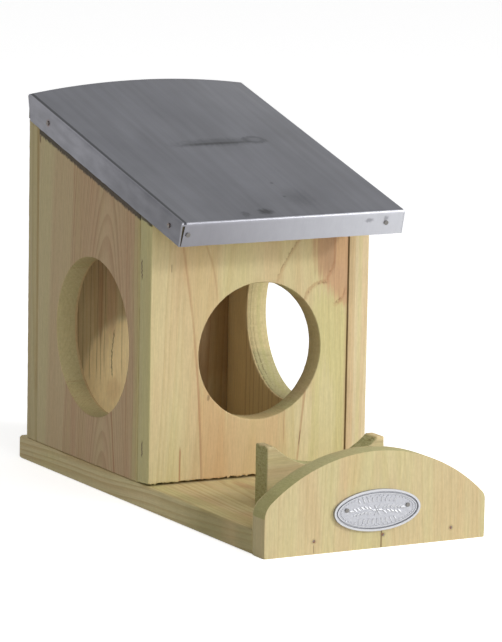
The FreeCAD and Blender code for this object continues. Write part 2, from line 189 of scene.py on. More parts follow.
class FeederStage(bpy.types.PropertyGroup):
    """The camera, the lamps and the floor."""

    azimuth: angle("Camera azimuth", "Direction of view, clockwise from the rear", 28.991)
    elevation: angle("Camera elevation", "How steeply the camera looks down", 9.566)
    roll: angle("Camera roll", "Turn of the camera about its own axis", 1.023)
    place: FloatVectorProperty(
        name="Camera place",
        description="Where the camera stands",
        default=(-1.28481, -2.32186, 0.56),
        subtype="TRANSLATION",
        unit="LENGTH",
    )
    lens: amount("Lens", "Focal length in millimetres on a sensor 36 mm long", 238.23)
    floor: colour("Floor", "Pale studio floor", "#F4F4F4")
    glow: amount("Floor glow", "Light added where the floor is seen, so that it is white", 0.66)
    sky: amount("Sky", "Strength of the light from all round", 0.29)
    lamp_reach: size("Lamp distance", "How far the lamps stand from the feeder", 2.4)
    key_power: amount("Key lamp", "Power of the small lamp that draws the shadows", 17.0, "POWER")
    side_power: amount("Side lamp", "Power of the wide low lamp on the right", 21.0, "POWER")
    top_power: amount("Top lamp", "Power of the wide lamp above", 13.0, "POWER")
    fill_power: amount("Fill lamp", "Power of the wide lamp on the left", 10.5, "POWER")


# Selecting and shaping


def only(*pieces):
    """Selects these pieces and nothing else. The first becomes the active one."""
    bpy.ops.object.select_all(action="DESELECT")
    for piece in pieces:
        piece.select_set(True)
    if pieces:
        bpy.context.view_layer.objects.active = pieces[0]


@contextmanager
def editing(piece):
    """Edit mode on one piece, with all of it selected."""
    only(piece)
    bpy.ops.object.mode_set(mode="EDIT")
    bpy.ops.mesh.select_all(action="SELECT")
    yield
    bpy.ops.object.mode_set(mode="OBJECT")


def modify(piece, kind, **settings):
    """Adds a modifier to a piece, sets it and applies it."""
    only(piece)
    bpy.ops.object.modifier_add(type=kind)
    modifier = piece.modifiers[-1]
    for name, value in settings.items():
        setattr(modifier, name, value)
    bpy.ops.object.modifier_apply(modifier=modifier.name)


def settle(piece):
    """Moves a piece's place, turn and size into its mesh."""
    only(piece)
    bpy.ops.object.transform_apply(location=True, rotation=True, scale=True)


def start(name):
    """Names the primitive that was just added and settles it."""
    piece = bpy.context.object
    piece.name = name
    piece.data.name = name
    settle(piece)
    return piece


def new_block(name, low, high):
    """A block between two corners."""
    only()
    bpy.ops.mesh.primitive_cube_add(size=1, location=(low + high) / 2, scale=high - low)
    return start(name)


def new_bar(name, centre, axis, radius, length, sides, scale=(1, 1, 1)):
    """A round bar whose middle is at centre."""
    turn = Z.rotation_difference(axis).to_euler()
    place = {"location": centre, "rotation": turn, "scale": scale}
    only()
    bpy.ops.mesh.primitive_cylinder_add(vertices=sides, radius=radius, depth=length, **place)
    return start(name)


def select(piece, kind, test):
    """Selects in edit mode the faces or the edges that pass a test."""
    mesh = bmesh.from_edit_mesh(piece.data)
    mesh.select_mode = {kind}
    parts = mesh.faces if kind == "FACE" else mesh.edges
    for part in parts:
        part.select_set(False)
    for part in parts:
        if test(part):
            part.select_set(True)
    mesh.select_flush_mode()
    bmesh.update_edit_mesh(piece.data)


def select_faces(piece, test):
    """Selects in edit mode the faces whose direction passes a test."""
    select(piece, "FACE", lambda face: test(face.normal))


def select_edges(piece, test):
    """Selects in edit mode the edges whose two ends pass a test."""
    select(piece, "EDGE", lambda edge: test(edge.verts[0].co, edge.verts[1].co))


def cut_plane(piece, point, normal, close=True):
    """Cuts off what lies on the side that the normal points to."""
    with editing(piece):
        bpy.ops.mesh.bisect(
            plane_co=point, plane_no=normal, use_fill=close, clear_outer=True, threshold=HAIR
        )


def slice_up(piece, slices):
    """Divides the faces of a piece along even planes, so that it can be worn unevenly.

    slices are the axes that the planes stand across and about how far apart they are."""
    for axis, pitch in slices:
        places = [vertex.co.dot(axis) for vertex in piece.data.vertices]
        low, high = min(places), max(places)
        count = max(1, round((high - low) / pitch))
        with editing(piece):
            for i in range(1, count):
                place = low + (high - low) * i / count
                bpy.ops.mesh.select_all(action="SELECT")
                bpy.ops.mesh.bisect(plane_co=axis * place, plane_no=axis, threshold=HAIR)


def combine(piece, tool, operation="DIFFERENCE"):
    """Cuts a piece with a tool, joins both, or keeps what both share. The tool is used up."""
    crossing = operation == "UNION"
    modify(piece, "BOOLEAN", operation=operation, solver="EXACT", object=tool, use_self=crossing)
    bpy.data.objects.remove(tool)


def cut_for(piece, node):
    """Cuts the holes that a node's nails or screws fill, so that their flush heads show."""
    tool = copy_to(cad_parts[node], "nail_tool", Matrix.Identity(4))
    with editing(tool):
        bpy.ops.mesh.remove_doubles(threshold=HAIR)
        bpy.ops.mesh.normals_make_consistent(inside=False)
    combine(piece, tool)


def saw_round(piece, centre, axis, radius, length=60 * MM, sides=300, operation="DIFFERENCE"):
    """Saws a round hole or hollow into a board, or saws the board itself round."""
    tool = new_bar("round_tool", centre, axis, radius, length, sides)
    give(tool, list(piece.data.materials))
    paint(tool, SAWN, lambda place, normal: True)
    combine(piece, tool, operation)


def soften_edges(piece, width, segments=2):
    """Rounds every sharp edge of a piece a little."""
    sharp = {"limit_method": "ANGLE", "angle_limit": math.radians(35), "use_clamp_overlap": True}
    modify(piece, "BEVEL", width=width, segments=segments, **sharp)


def push(piece, distance, share, direction="NORMAL", grit=None, level=0.0):
    """Moves each vertex by a distance times its share, evenly or through a cloudy grit.

    share gives 0 to 1 for a vertex's place and normal. With grit, its size in metres, the
    movement varies from vertex to vertex, and level is the cloud's value that doesn't move."""
    group = piece.vertex_groups.new(name="share")
    name = group.name
    for vertex in piece.data.vertices:
        weight = share(vertex.co, vertex.normal)
        if weight > 0:
            group.add([vertex.index], min(1.0, weight), "REPLACE")
    clouds = {}
    if grit is not None:
        texture = bpy.data.textures.new("grit", "CLOUDS")
        texture.noise_scale = grit
        texture.noise_depth = 2
        clouds = {"texture": texture, "texture_coords": "LOCAL"}
    reach = {"strength": distance, "mid_level": level, "vertex_group": name}
    modify(piece, "DISPLACE", direction=direction, **reach, **clouds)
    piece.vertex_groups.remove(piece.vertex_groups[name])


def weather(piece, axis, slices, sawn, wear=1.0, grit=1.2 * MM):
    """Divides a board, finds its sawn faces and wears the edges of its two broad faces.

    axis runs through the board, sawn tells a sawn face by its direction, wear is how many times
    deeper than usual the edges are worn, and grit how wide the bites are."""

    def worn(place, normal):
        return 1.0 if 0.15 < abs(normal.dot(axis)) < 0.97 else 0.0

    slice_up(piece, slices)
    paint(piece, SAWN, lambda place, normal: sawn(normal))
    push(piece, wear * bpy.context.scene.feeder_sizes.wear, worn, grit=grit, level=1.0)


def paint(piece, index, test):
    """Gives one of a piece's materials to the faces that pass a test."""
    for face in piece.data.polygons:
        if test(face.center, face.normal):
            face.material_index = index


def give(piece, materials):
    """Puts materials in a piece's slots, in order."""
    piece.data.materials.clear()
    for material in materials:
        piece.data.materials.append(material)


def copy_to(source, name, matrix):
    """A copy of a piece with its own mesh, moved, turned and scaled by a matrix."""
    piece = source.copy()
    piece.data = source.data.copy()
    piece.data.transform(matrix)
    piece.name = name
    bpy.context.scene.collection.objects.link(piece)
    return piece


def hand_over(piece, node, smooth_below=35):
    """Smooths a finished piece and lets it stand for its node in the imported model."""
    only(piece)
    bpy.ops.object.shade_smooth_by_angle(angle=math.radians(smooth_below))
    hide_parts(node)
    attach(piece, "root")


# Materials


def fill(tree, node, inputs):
    """Fills a node's inputs, given by name or in order, with values or links."""
    pairs = inputs.items() if isinstance(inputs, dict) else enumerate(inputs)
    for name, value in pairs:
        if isinstance(value, bpy.types.NodeSocket):
            tree.links.new(value, node.inputs[name])
        else:
            node.inputs[name].default_value = value


def add(tree, kind, inputs=(), output=0, **choices):
    """Adds a node, sets its choices, fills its inputs and gives one output or itself."""
    node = tree.nodes.new("ShaderNode" + kind)
    for name, value in choices.items():
        setattr(node, name, value)
    fill(tree, node, inputs)
    return node if output is None else node.outputs[output]


def new_material(name):
    """An empty material with its shader joined to its output."""
    material = bpy.data.materials.new(name)
    material.use_nodes = True
    tree = material.node_tree
    tree.nodes.clear()
    shader = add(tree, "BsdfPrincipled", output=None)
    add(tree, "OutputMaterial", {"Surface": shader.outputs[0]}, None)
    return material, tree, shader


def cloudy(tree, place, sizes, detail=2.0, output="Fac", shift=0.0):
    """A cloudy pattern whose spots have these sizes along the three axes of a place."""
    scale = [1 / length for length in sizes]
    scaled = add(tree, "Mapping", {"Vector": place, "Location": (shift,) * 3, "Scale": scale})
    return add(tree, "TexNoise", {"Vector": scaled, "Scale": 1.0, "Detail": detail}, output)


class Log(NamedTuple):
    """The log that a board was sawn from: where its pith ran and how its rings lie.

    place is a point on the pith and way its direction, ring the mean width of a yearly ring and
    heart the radius of the heartwood, all in millimetres. warp is how far the rings wander,
    contrast how dark they are, green how strong the preservative shows, pale and tone how light
    the wood is, and torn how rough its sawn faces are."""

    place: tuple
    way: tuple
    ring: float
    heart: float = 0.0
    warp: float = 1.5
    contrast: float = 0.5
    green: float = 0.3
    pale: float = 0.0
    tone: float = 1.0
    torn: float = 0.15

    def stand(self, tree, place):
        """Places with the pith of the log along Z."""
        turn = Vector(self.way).rotation_difference(Z)
        shift = turn @ -Vector(self.place)
        inputs = {"Vector": place, "Location": shift, "Rotation": turn.to_euler()}
        return add(tree, "Mapping", inputs)

    def rings(self, tree, place):
        """How far from the pith a place is, and how dark its late wood: 0 to 1 in each ring."""
        wander = cloudy(tree, place, (38, 38, 110), 1.0, "Color")
        centred = add(tree, "VectorMath", (wander, (0.5, 0.5, 0.5)), operation="SUBTRACT")
        flat = (2 * self.warp, 2 * self.warp, 0.0)
        offset = add(tree, "VectorMath", (centred, flat), operation="MULTIPLY")
        moved = add(tree, "VectorMath", (place, offset), operation="ADD")
        across = add(tree, "VectorMath", (moved, (1.0, 1.0, 0.0)), operation="MULTIPLY")
        radius = add(tree, "VectorMath", (across,), "Value", operation="LENGTH")
        years = add(tree, "Math", (radius, self.ring), operation="DIVIDE")
        slow = {"W": years, "Scale": 0.37, "Detail": 1.0}
        rhythm = add(tree, "TexNoise", slow, noise_dimensions="1D")
        uneven = add(tree, "Math", (rhythm, 1.6, years), operation="MULTIPLY_ADD")
        year = add(tree, "Math", (uneven,), operation="FLOOR")
        season = add(tree, "Math", (uneven,), operation="FRACT")
        rise = add(tree, "MapRange", (season, 0.3, 0.88), interpolation_type="SMOOTHSTEP")
        fall = add(tree, "MapRange", (season, 1.0, 0.9), interpolation_type="SMOOTHSTEP")
        late = add(tree, "Math", (rise, fall), operation="MULTIPLY")
        chance = add(tree, "TexWhiteNoise", {"W": year}, noise_dimensions="1D")
        depth = add(tree, "Math", (chance, 0.6, 0.4), operation="MULTIPLY_ADD")
        return radius, add(tree, "Math", (late, depth), operation="MULTIPLY")

    def colours(self, tree, place, wood):
        """The log's colour and its late wood."""
        radius, late = self.rings(tree, place)
        edge = (radius, self.heart + 3.0, self.heart - 3.0)
        heart = add(tree, "MapRange", edge, interpolation_type="SMOOTHSTEP")
        sapwood = add(tree, "MixRGB", (self.pale, wood.sapwood, wood.pale))
        early = add(tree, "MixRGB", (heart, sapwood, wood.heartwood))
        lines = add(tree, "MixRGB", (heart, wood.sap_lines, wood.heart_lines))
        patches = cloudy(tree, place, (14, 14, 140), shift=7.3)
        tints = ((0.4, 0.7, self.green, wood.treated), (0.5, 0.25, 0.35, wood.peach))
        for none, full, share, tint in tints:
            share = add(tree, "MapRange", (patches, none, full, 0.0, share))
            early = add(tree, "MixRGB", (share, early, tint))
        strength = add(tree, "Math", (late, self.contrast), operation="MULTIPLY")
        body = add(tree, "MixRGB", (strength, early, lines))
        tone = (self.tone, self.tone, self.tone, 1.0)
        return add(tree, "MixRGB", (1.0, body, tone), blend_type="MULTIPLY"), late


class Coat:
    """A material's colour, which grows layer by layer."""

    def __init__(self, tree, body):
        self.tree = tree
        self.body = body


def up_to(full, end):
    """The spread of a colour that lies everywhere up to an offset."""
    return (-900, -890, full, end)


def beyond(start, full):
    """The spread of a colour that lies everywhere beyond an offset."""
    return (start, full, 890, 900)


class Face:
    """A face as its marks see it: millimetres across the grain, along it, and into the board."""

    def __init__(self, coat, place, across, along, inward, sawn=False):
        self.coat = coat
        self.tree = coat.tree
        parts = add(self.tree, "SeparateXYZ", (place,), None).outputs
        self.across = parts[across]
        self.along = parts[along]
        self.inward = parts[inward]
        self.sawn = sawn
        self.flat = add(self.tree, "CombineXYZ", (self.across, self.along))
        self.hundreds = add(self.tree, "Math", (self.along, 0.01), operation="MULTIPLY")
        self.drift = self.waver(25, 90)
        self.streak = self.waver(2.2, 60)
        self.specks = self.waver(2.0, 2.6)

    def waver(self, across, along):
        """A pattern from about -1 to 1, with spots of these sizes."""
        spots = cloudy(self.tree, self.flat, (across, along, 1), 3.0)
        return add(self.tree, "Math", (spots, 5.0, -2.5), operation="MULTIPLY_ADD")

    def path(self, a, b=0.0, c=0.0):
        """How far a place lies right of the line a + b t + c t t, t hundreds of mm along."""
        slope = add(self.tree, "Math", (self.hundreds, c, b), operation="MULTIPLY_ADD")
        line = add(self.tree, "Math", (slope, self.hundreds, a), operation="MULTIPLY_ADD")
        return add(self.tree, "Math", (self.across, line), operation="SUBTRACT")

    def oval(self, centre, radii):
        """How far a place lies outside an oval."""
        shift = (-centre[0] / radii[0], -centre[1] / radii[1], 0)
        scale = (1 / radii[0], 1 / radii[1], 1)
        disc = add(self.tree, "Mapping", {"Vector": self.flat, "Location": shift, "Scale": scale})
        reach = add(self.tree, "VectorMath", (disc,), "Value", operation="LENGTH")
        small = min(radii)
        return add(self.tree, "Math", (reach, small, -small), operation="MULTIPLY_ADD")

    def lay(
        self, offset, spread, colour, share, span=None,
        wander=0, feather=0, ragged=0, broken=None, skin=None,
    ):
        """Lays a colour along a path or on an oval.

        The colour starts at the first offset of spread, is full from the second to the third and
        ends at the fourth. span is where it starts and ends along, and how softly. wander,
        feather and ragged move its edges, in millimetres, in slow bends, in streaks along the
        grain and in small teeth. broken, -1 to 1, leaves only the spots above it, and skin
        gives the inward places between which the colour lies."""
        tree = self.tree
        moves = ((self.drift, wander), (self.streak, feather), (self.specks, ragged))
        for waver, reach in moves:
            if reach:
                offset = add(tree, "Math", (waver, reach, offset), operation="MULTIPLY_ADD")
        start, full, until, end = spread
        steps = [(offset, start, full), (offset, end, until)]
        if span is not None:
            low, high, soft = span
            place = add(tree, "Math", (self.streak, soft, self.along), operation="MULTIPLY_ADD")
            steps += [(place, low - soft, low + soft), (place, high + soft, high - soft)]
        if broken is not None:
            steps.append((self.specks, broken - 0.3, broken + 0.3))
        if skin is not None:
            near, far = skin
            steps += [(self.inward, near - 0.5, near), (self.inward, far + 0.5, far)]
        for step in steps:
            mask = add(tree, "MapRange", step, interpolation_type="SMOOTHSTEP")
            share = add(tree, "Math", (share, mask), operation="MULTIPLY")
        self.coat.body = add(tree, "MixRGB", (share, self.coat.body, colour))


def pine(name, log, axes, marks, sawn=False):
    """Pressure-treated pine. Planed: satin, with fine dark late-wood lines and faint fibres.
    Sawn: duller and greener, and more or less torn into short lines by the saw."""
    wood = bpy.context.scene.feeder_wood
    material, tree, shader = new_material(name)
    spot = add(tree, "TexCoord", output="Object")
    shift = (0, -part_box("front_panel")[0].y / MM, 0)
    place = add(tree, "Mapping", {"Vector": spot, "Location": shift, "Scale": (1 / MM,) * 3})
    in_log = log.stand(tree, place)
    body, late = log.colours(tree, in_log, wood)
    # Real fibres and pores are some hundredths of a millimetre wide: coarser here, so they show
    fibres = cloudy(tree, in_log, (0.7, 0.7, 16), 3.0, shift=3.1)
    pores = cloudy(tree, in_log, (1.3, 1.3, 2.6), 3.0, shift=8.6)
    height = add(tree, "Math", (fibres, 0.5, late), operation="MULTIPLY_ADD")
    depth = 0.1 * MM
    if sawn:
        # Torn lines are 0.9 mm apart, coarser than a saw's teeth leave them, so that they show
        torn = log.torn
        sizes = [5.0 if axis == axes[2] else 0.9 for axis in "XYZ"]
        lines = cloudy(tree, place, sizes, 3.0, shift=11.7)
        fuzz = cloudy(tree, place, (1.4, 1.4, 1.4), 3.0, shift=4.1)
        ragged = add(tree, "Math", (lines, 1.0, fuzz), operation="MULTIPLY_ADD")
        covers = (
            (fuzz, 0.3, 0.7, 0.35 + 0.35 * torn, 0.6 + 0.35 * torn, wood.sawn),
            (ragged, 1.0, 0.7, 0.0, 0.1 + 0.7 * torn, wood.torn),
            (ragged, 1.05, 1.3, 0.0, 0.15 + 0.45 * torn, wood.pale),
        )
        for *inputs, tint in covers:
            share = add(tree, "MapRange", inputs)
            body = add(tree, "MixRGB", (share, body, tint))
        height = add(tree, "Math", (height, 0.3, ragged), operation="MULTIPLY_ADD")
        depth = (0.04 + 0.5 * torn) * MM
    coat = Coat(tree, body)
    marks(Face(coat, place, *axes, sawn), wood)
    body = coat.body
    for pattern, dark, light in ((fibres, 0.92, 1.06), (pores, 0.96, 1.03)):
        shade = add(tree, "MapRange", (pattern, 0.3, 0.7, dark, light))
        body = add(tree, "MixRGB", (1.0, body, shade), blend_type="MULTIPLY")
    bump = add(tree, "Bump", {"Height": height, "Strength": 0.8, "Distance": depth})
    rough = 0.85 if sawn else 0.62
    fill(tree, shader, {"Base Color": body, "Normal": bump, "Roughness": rough})
    fill(tree, shader, {"IOR": 1.5, "Specular IOR Level": 0.3})
    return material


# Marks on the boards. Their places are in millimetres from the front panel's front face, the
# middle of the feeder and the ground.


def front_panel_marks(face, wood):
    """A peach zone between single red rings, a swirl round a knot, and ragged cracks."""
    lay = face.lay
    x = face.across
    ring = face.path(-40.8, -0.4, -5.1)
    lay(ring, (-1, 3, 15, 24), wood.peach, 0.35, None, 3, 2.5)
    lay(ring, (-1, 3, 15, 24), wood.peach, 0.55, (-30, 78, 14), 3, 2.5)
    lay(ring, (-16, -5, -2, 1), wood.pink, 0.16, None, 0, 2)
    lay(x, (-34, -20, 8, 24), wood.peach, 0.5, (-30, 60, 8), 4, 2.5)
    lay(x, (24, 31, 36, 44), wood.pale, 0.35, (-30, 62, 10), 2, 2)
    lay(x, (34, 42, 63, 64), wood.treated, 0.45, (8, 130, 8), 3, 3)
    lay(x, (40, 45, 52, 57), wood.pale, 0.3, (-30, 80, 12), 2, 2)
    lay(face.path(374.9, -405.2, 120.8), beyond(-4, 6), wood.pink, 0.7, (121, 190, 3), 2, 3.5)
    lay(x, (35, 49, 53.5, 54.5), wood.knot, 0.26, (143, 190, 5), 1, 3)
    lay(x, beyond(54, 55.5), wood.peach, 0.45, (148, 190, 6), 0.5, 0.8)
    left = add(face.tree, "MapRange", (x, 51.0, 46.0, 0.0, 0.4))
    right = add(face.tree, "MapRange", (x, 52.0, 55.0, 0.0, 0.4))
    curls = (
        (face.oval((46.5, 122), (15, 16.5)), (-2.4, -0.3, 0.2, 1.4), left, (126, 190, 2)),
        (face.path(-588.4, 837.4, -273), (-2.0, -0.3, 0.3, 1.6), 0.35, (138, 149, 2)),
        (face.oval((53.5, 133), (8.2, 11.2)), (-1.4, -0.2, 0.2, 1.4), right, (90, 133, 2)),
    )
    core = (-0.8, -0.2, 0.2, 0.7)
    for offset, spread, share, span in curls:
        lay(offset, spread, wood.red_line, share, span, 0.9, ragged=0.6)
        lay(offset, core, wood.knot, share, span, 0.9, ragged=1.2, broken=0.3)
    lay(face.path(53.3), (-1.2, 0, 0.3, 0.8), wood.red_line, 0.45, (148, 190, 2), 0.3)
    rings = (
        (ring, (-0.9, -0.1, 0.3, 1.8), 0.6, (-20, 110, 20)),
        (ring, (-0.9, -0.1, 0.3, 1.8), 0.4, (110, 190, 20)),
        (face.path(-125.2, 146.3, -57.2), (-0.9, 0, 0.3, 1.6), 0.3, (130, 175, 5)),
        (face.path(16.4, 3.5), (-0.6, 0, 0.3, 1.2), 0.4, (37, 60, 4)),
        (face.path(25.7, 11), (-1.4, 0, 0.3, 1.0), 0.5, (19, 73, 5)),
        (face.path(-55.8), (-0.9, -0.3, 0.3, 0.9), 0.75, (14, 37, 3)),
    )
    for offset, spread, share, span in rings:
        lay(offset, spread, wood.red_line, 0.2 if face.sawn else share, span, 0.5, 0.15)
    lay(face.path(25.7, 11), (-0.5, 0, 0.2, 0.5), wood.knot, 0.7, (33, 42, 1.5))
    lay(face.path(-63.7), (-0.5, -0.1, 0.1, 0.5), wood.knot, 0.6, (150, 155, 1))
    split = face.path(104.7, -174.6, 76.9)
    gap = (-1.0, -0.2, 0.2, 1.0)
    lay(split, (-1, 0, 0.6, 3), wood.red_line, 0.3, (138, 175, 4), 0.6, ragged=0.5)
    lay(split, gap, wood.joint, 0.45, (145, 172, 3), 0.6, ragged=1.2, broken=-0.1)
    lay(face.oval((-36.2, 69), (1.0, 2.2)), up_to(-0.4, 0.4), wood.knot, 0.5, ragged=0.4)
    if face.sawn:
        lay(x, beyond(20, 36), wood.heartwood, 0.45)
    # The panel's left edge, which closes the box's side: a painted shadow under the roof's flange
    # and two slits
    lay(x, up_to(-78.2, -77.2), wood.treated, 0.45)
    # Painted shadow where the roof's flange overhangs the left edge
    at_left = add(face.tree, "MapRange", (x, -77.2, -78.2, 0.0, 0.9))
    brow = add(face.tree, "Math", (face.inward, -SLOPE, face.along), operation="MULTIPLY_ADD")
    lay(brow, beyond(178.6, 180), wood.shadow, at_left, ragged=0.7)
    for place, low, high in ((12.1, 146, 157), (9.1, 33, 43)):
        slit = (place - 1.1, place - 0.4, place + 0.3, place + 0.9)
        lay(face.inward, slit, wood.knot, 0.9, (low, high, 1.5), 0.5, ragged=0.5)
    lay(x, beyond(60.5, 62.6), wood.pink, 0.35)
    lay(x, beyond(62.2, 63.0), wood.joint, 0.9)


def left_panel_marks(face, wood):
    """A second stave at the rear, reddish zones and lines, a dark joint at each end, a painted
    shadow under the roof's flange and painted shade on the inner face.
    """
    lay = face.lay
    y = face.across
    seam = face.path(121.1, -7)
    line = face.path(44.1, 11.9)
    lay(seam, beyond(-1.5, 1.5), wood.sapwood, 0.35, None, 0.8, 0.5)
    lay(seam, (-0.8, -0.2, 0.2, 0.8), wood.red_line, 0.2, None, 0.5)
    lay(face.oval((61.5, 176), (9, 26)), up_to(-4, 3), wood.heartwood, 0.3, None, 1, 1.5)
    lay(y, up_to(16, 26), wood.treated, 0.45, None, 1, 2)
    lay(y, (18, 26, 34, 46), wood.pink, 0.12, None, 3, 3)
    lay(seam, (-50, -26, -2, 0), wood.pink, 0.12, None, 3, 3)
    for place, share in ((17.2, 0.35), (22.4, 0.4), (28, 0.25), (97, 0.3), (106, 0.25)):
        share = 0.1 if face.sawn else share
        lay(face.path(place), (-0.5, -0.1, 0.2, 0.7), wood.red_line, share, None, 1.0, 0.2)
    share = 0.1 if face.sawn else 0.65
    lay(line, (-0.6, 0, 0.4, 2.2), wood.red_line, share, (-9, 76, 6), 0.8, 0.2)
    lay(face.path(31), (-0.6, 0, 0.3, 1.2), wood.red_line, 0.4, None, 1.2, 0.2)
    patch = face.oval((124.6, 102), (2.4, 12))
    lay(patch, up_to(-1, 1), wood.pink, 0.7, None, 0, 0.4, ragged=0.3)
    lay(face.path(157), (-1.1, -0.4, 0.4, 1.1), wood.knot, 0.8, (214, 219, 1), 0, 0.2)
    lay(y, beyond(158.0, 158.7), wood.knot, 0.7, (-9, 112, 5), 0, 0.2)
    if face.sawn:
        lay(y, up_to(200, 201), wood.torn, 0.16)
    # Painted shadow along the top of the outer face, under the roof's flange
    under_roof = face.path(-703.8, 386.7)
    lay(under_roof, up_to(13, 20), wood.shadow, 0.95, ragged=3, skin=(-90, -71))
    # Painted shade: the inner face is made darker and browner
    lay(y, up_to(890, 900), wood.peach, 0.5, skin=(-65, -55))


def right_panel_marks(face, wood):
    """Warm lines on the front end, which shows beside the front panel, and cracks in the hole."""
    lay = face.lay
    y = face.across
    thickness = face.inward
    if face.sawn:
        for place, low, high in ((66.4, 70, 125), (68.6, 55, 95), (65.4, 48, 80)):
            spread = (place - 0.7, place - 0.2, place + 0.1, place + 0.6)
            span = (low, high, 6)
            lay(thickness, spread, wood.knot, 0.5, span, 0.6, ragged=0.3, broken=-0.5)
        lay(thickness, beyond(60, 62), wood.fresh_wood_and_painted_light, 0.45, (72, 200, 4))
    inside = (62, 64.2)
    lay(y, (8, 12, 164, 166), wood.fresh_wood_and_painted_light, 0.9, skin=inside)
    for place in (88, 96, 101, 109, 114, 122, 127, 133):
        lay(face.path(place), (-0.9, 0, 0.3, 1.2), wood.inner, 0.3, None, 1, skin=inside)
    lay(face.path(5), up_to(3, 9), wood.pink, 0.15, None, 0, 2)
    lay(y, up_to(0.5, 2), wood.peach, 0.35, skin=(63, 68.5))
    lay(y, up_to(0.6, 1.5), wood.joint, 0.9, skin=(60, 64))
    lay(thickness, (70, 72, 73, 74.5), wood.treated, 0.3)


def back_panel_marks(face, wood):
    """Rough grooves left by the planer above, a painted pool of light below with painted shade
    above it and in the corner by the right panel, and a bent crack.
    """
    lay = face.lay
    x = face.across
    inside = (150, 161.5)
    lay(x, up_to(-78.2, -77.2), wood.torn, 0.25)
    # Painted shade in the inner corner by the right panel
    lay(x, beyond(42, 61), wood.inner, 0.55, skin=inside)
    # A painted pool of light, where light through the right side hole falls on the inner face, with
    # painted shade above it
    light_pool = face.oval((-12, 48), (34, 45))
    lay(light_pool, up_to(-3, 2), wood.fresh_wood_and_painted_light, 1.0, None, 0, 1, skin=inside)
    lay(light_pool, beyond(-1, 4), wood.inner, 0.3, (50, 220, 6), skin=inside)
    thin = (-0.5, -0.1, 0.1, 0.5)
    for place in (-52, -48.5, -45, -39.5, -34.4, -31.5, -29, -16, -8, 3, 14, 22):
        groove = face.path(place)
        lay(groove, thin, wood.joint, 0.42, (57, 150, 5), 0.8, 0.2, broken=-0.9, skin=inside)
    lay(face.path(-32), (-2.5, -1, 1, 2.5), wood.red_line, 0.4, (84, 130, 8))
    lay(face.path(-24), (-4, -2, 2, 4), wood.pink, 0.4, (84, 160, 8), 0, 1)
    crack = face.path(-4.0, -60, 46)
    gap = (-0.7, -0.1, 0.1, 0.7)
    lay(crack, gap, wood.shadow, 0.6, (56, 86, 2), ragged=0.4, skin=inside)
    lay(face.oval((-22, 46), (6, 9)), up_to(-3, 1), wood.peach, 0.35, None, 0, 1)


def arch_board_marks(face, wood):
    """A split from the plaque to the foot, through the middle nail, and rust round the nails."""
    lay = face.lay
    x = face.across
    lay(face.path(-20), (-9, -4, 3, 9), wood.peach, 0.3, (36, 70, 8), 2, 2)
    if face.sawn:
        lay(x, beyond(-62, -40), wood.pale, 0.35)
        lay(x, up_to(890, 900), wood.treated, 0.35)
        lay(x, up_to(-72, -66), wood.torn, 0.25)
    lay(x, up_to(-79, -78.2), wood.torn, 0.15)
    lay(face.path(1.4), (-0.8, -0.2, 0.2, 0.8), wood.knot, 0.75, (-6, 12, 2), 0.3)
    lay(face.path(-45.4), (-0.5, -0.1, 0.1, 0.5), wood.knot, 0.6, (1, 6, 1))
    for nail in (-45.35, 2.65, 50.65):
        rust = face.oval((nail, 8.0), (1.6, 1.6))
        lay(rust, up_to(-0.4, 0.7), wood.knot, 0.3, ragged=0.3, skin=(-160, -150.5))


def base_board_marks(face, wood):
    """A faint purple streak beside the box and a brown zone behind the arched board."""
    lay = face.lay
    lay(face.oval((-21, -20), (5, 17)), up_to(-4, 1), wood.pink, 0.45, None, 0, 1.5)
    lay(face.across, up_to(-78.4, -77.2), wood.torn, 0.6, (-140, -50, 30))
    lay(face.oval((-62, -112), (18, 26)), up_to(-9, 3), wood.peach, 0.5, None, 0, 3)
    lay(face.path(-70), (-9, -4, 2, 7), wood.treated, 0.35, None, 2, 2)


def cradle_marks(face, wood):
    """A weathered left end and a paler top on the right horn."""
    face.lay(face.along, up_to(-44, -42.5), wood.torn, 0.35)
    face.lay(face.across, beyond(51.5, 53.5), wood.fresh_wood_and_painted_light, 0.8, (33, 60, 2))


def roof_board_marks(face, wood):
    """Painted shadow along both side edges, which the sheet hides but for its open corners."""
    face.lay(face.across, up_to(-76.5, -74.5), wood.shadow, 0.9)
    face.lay(face.across, beyond(74.5, 76.5), wood.shadow, 0.9)


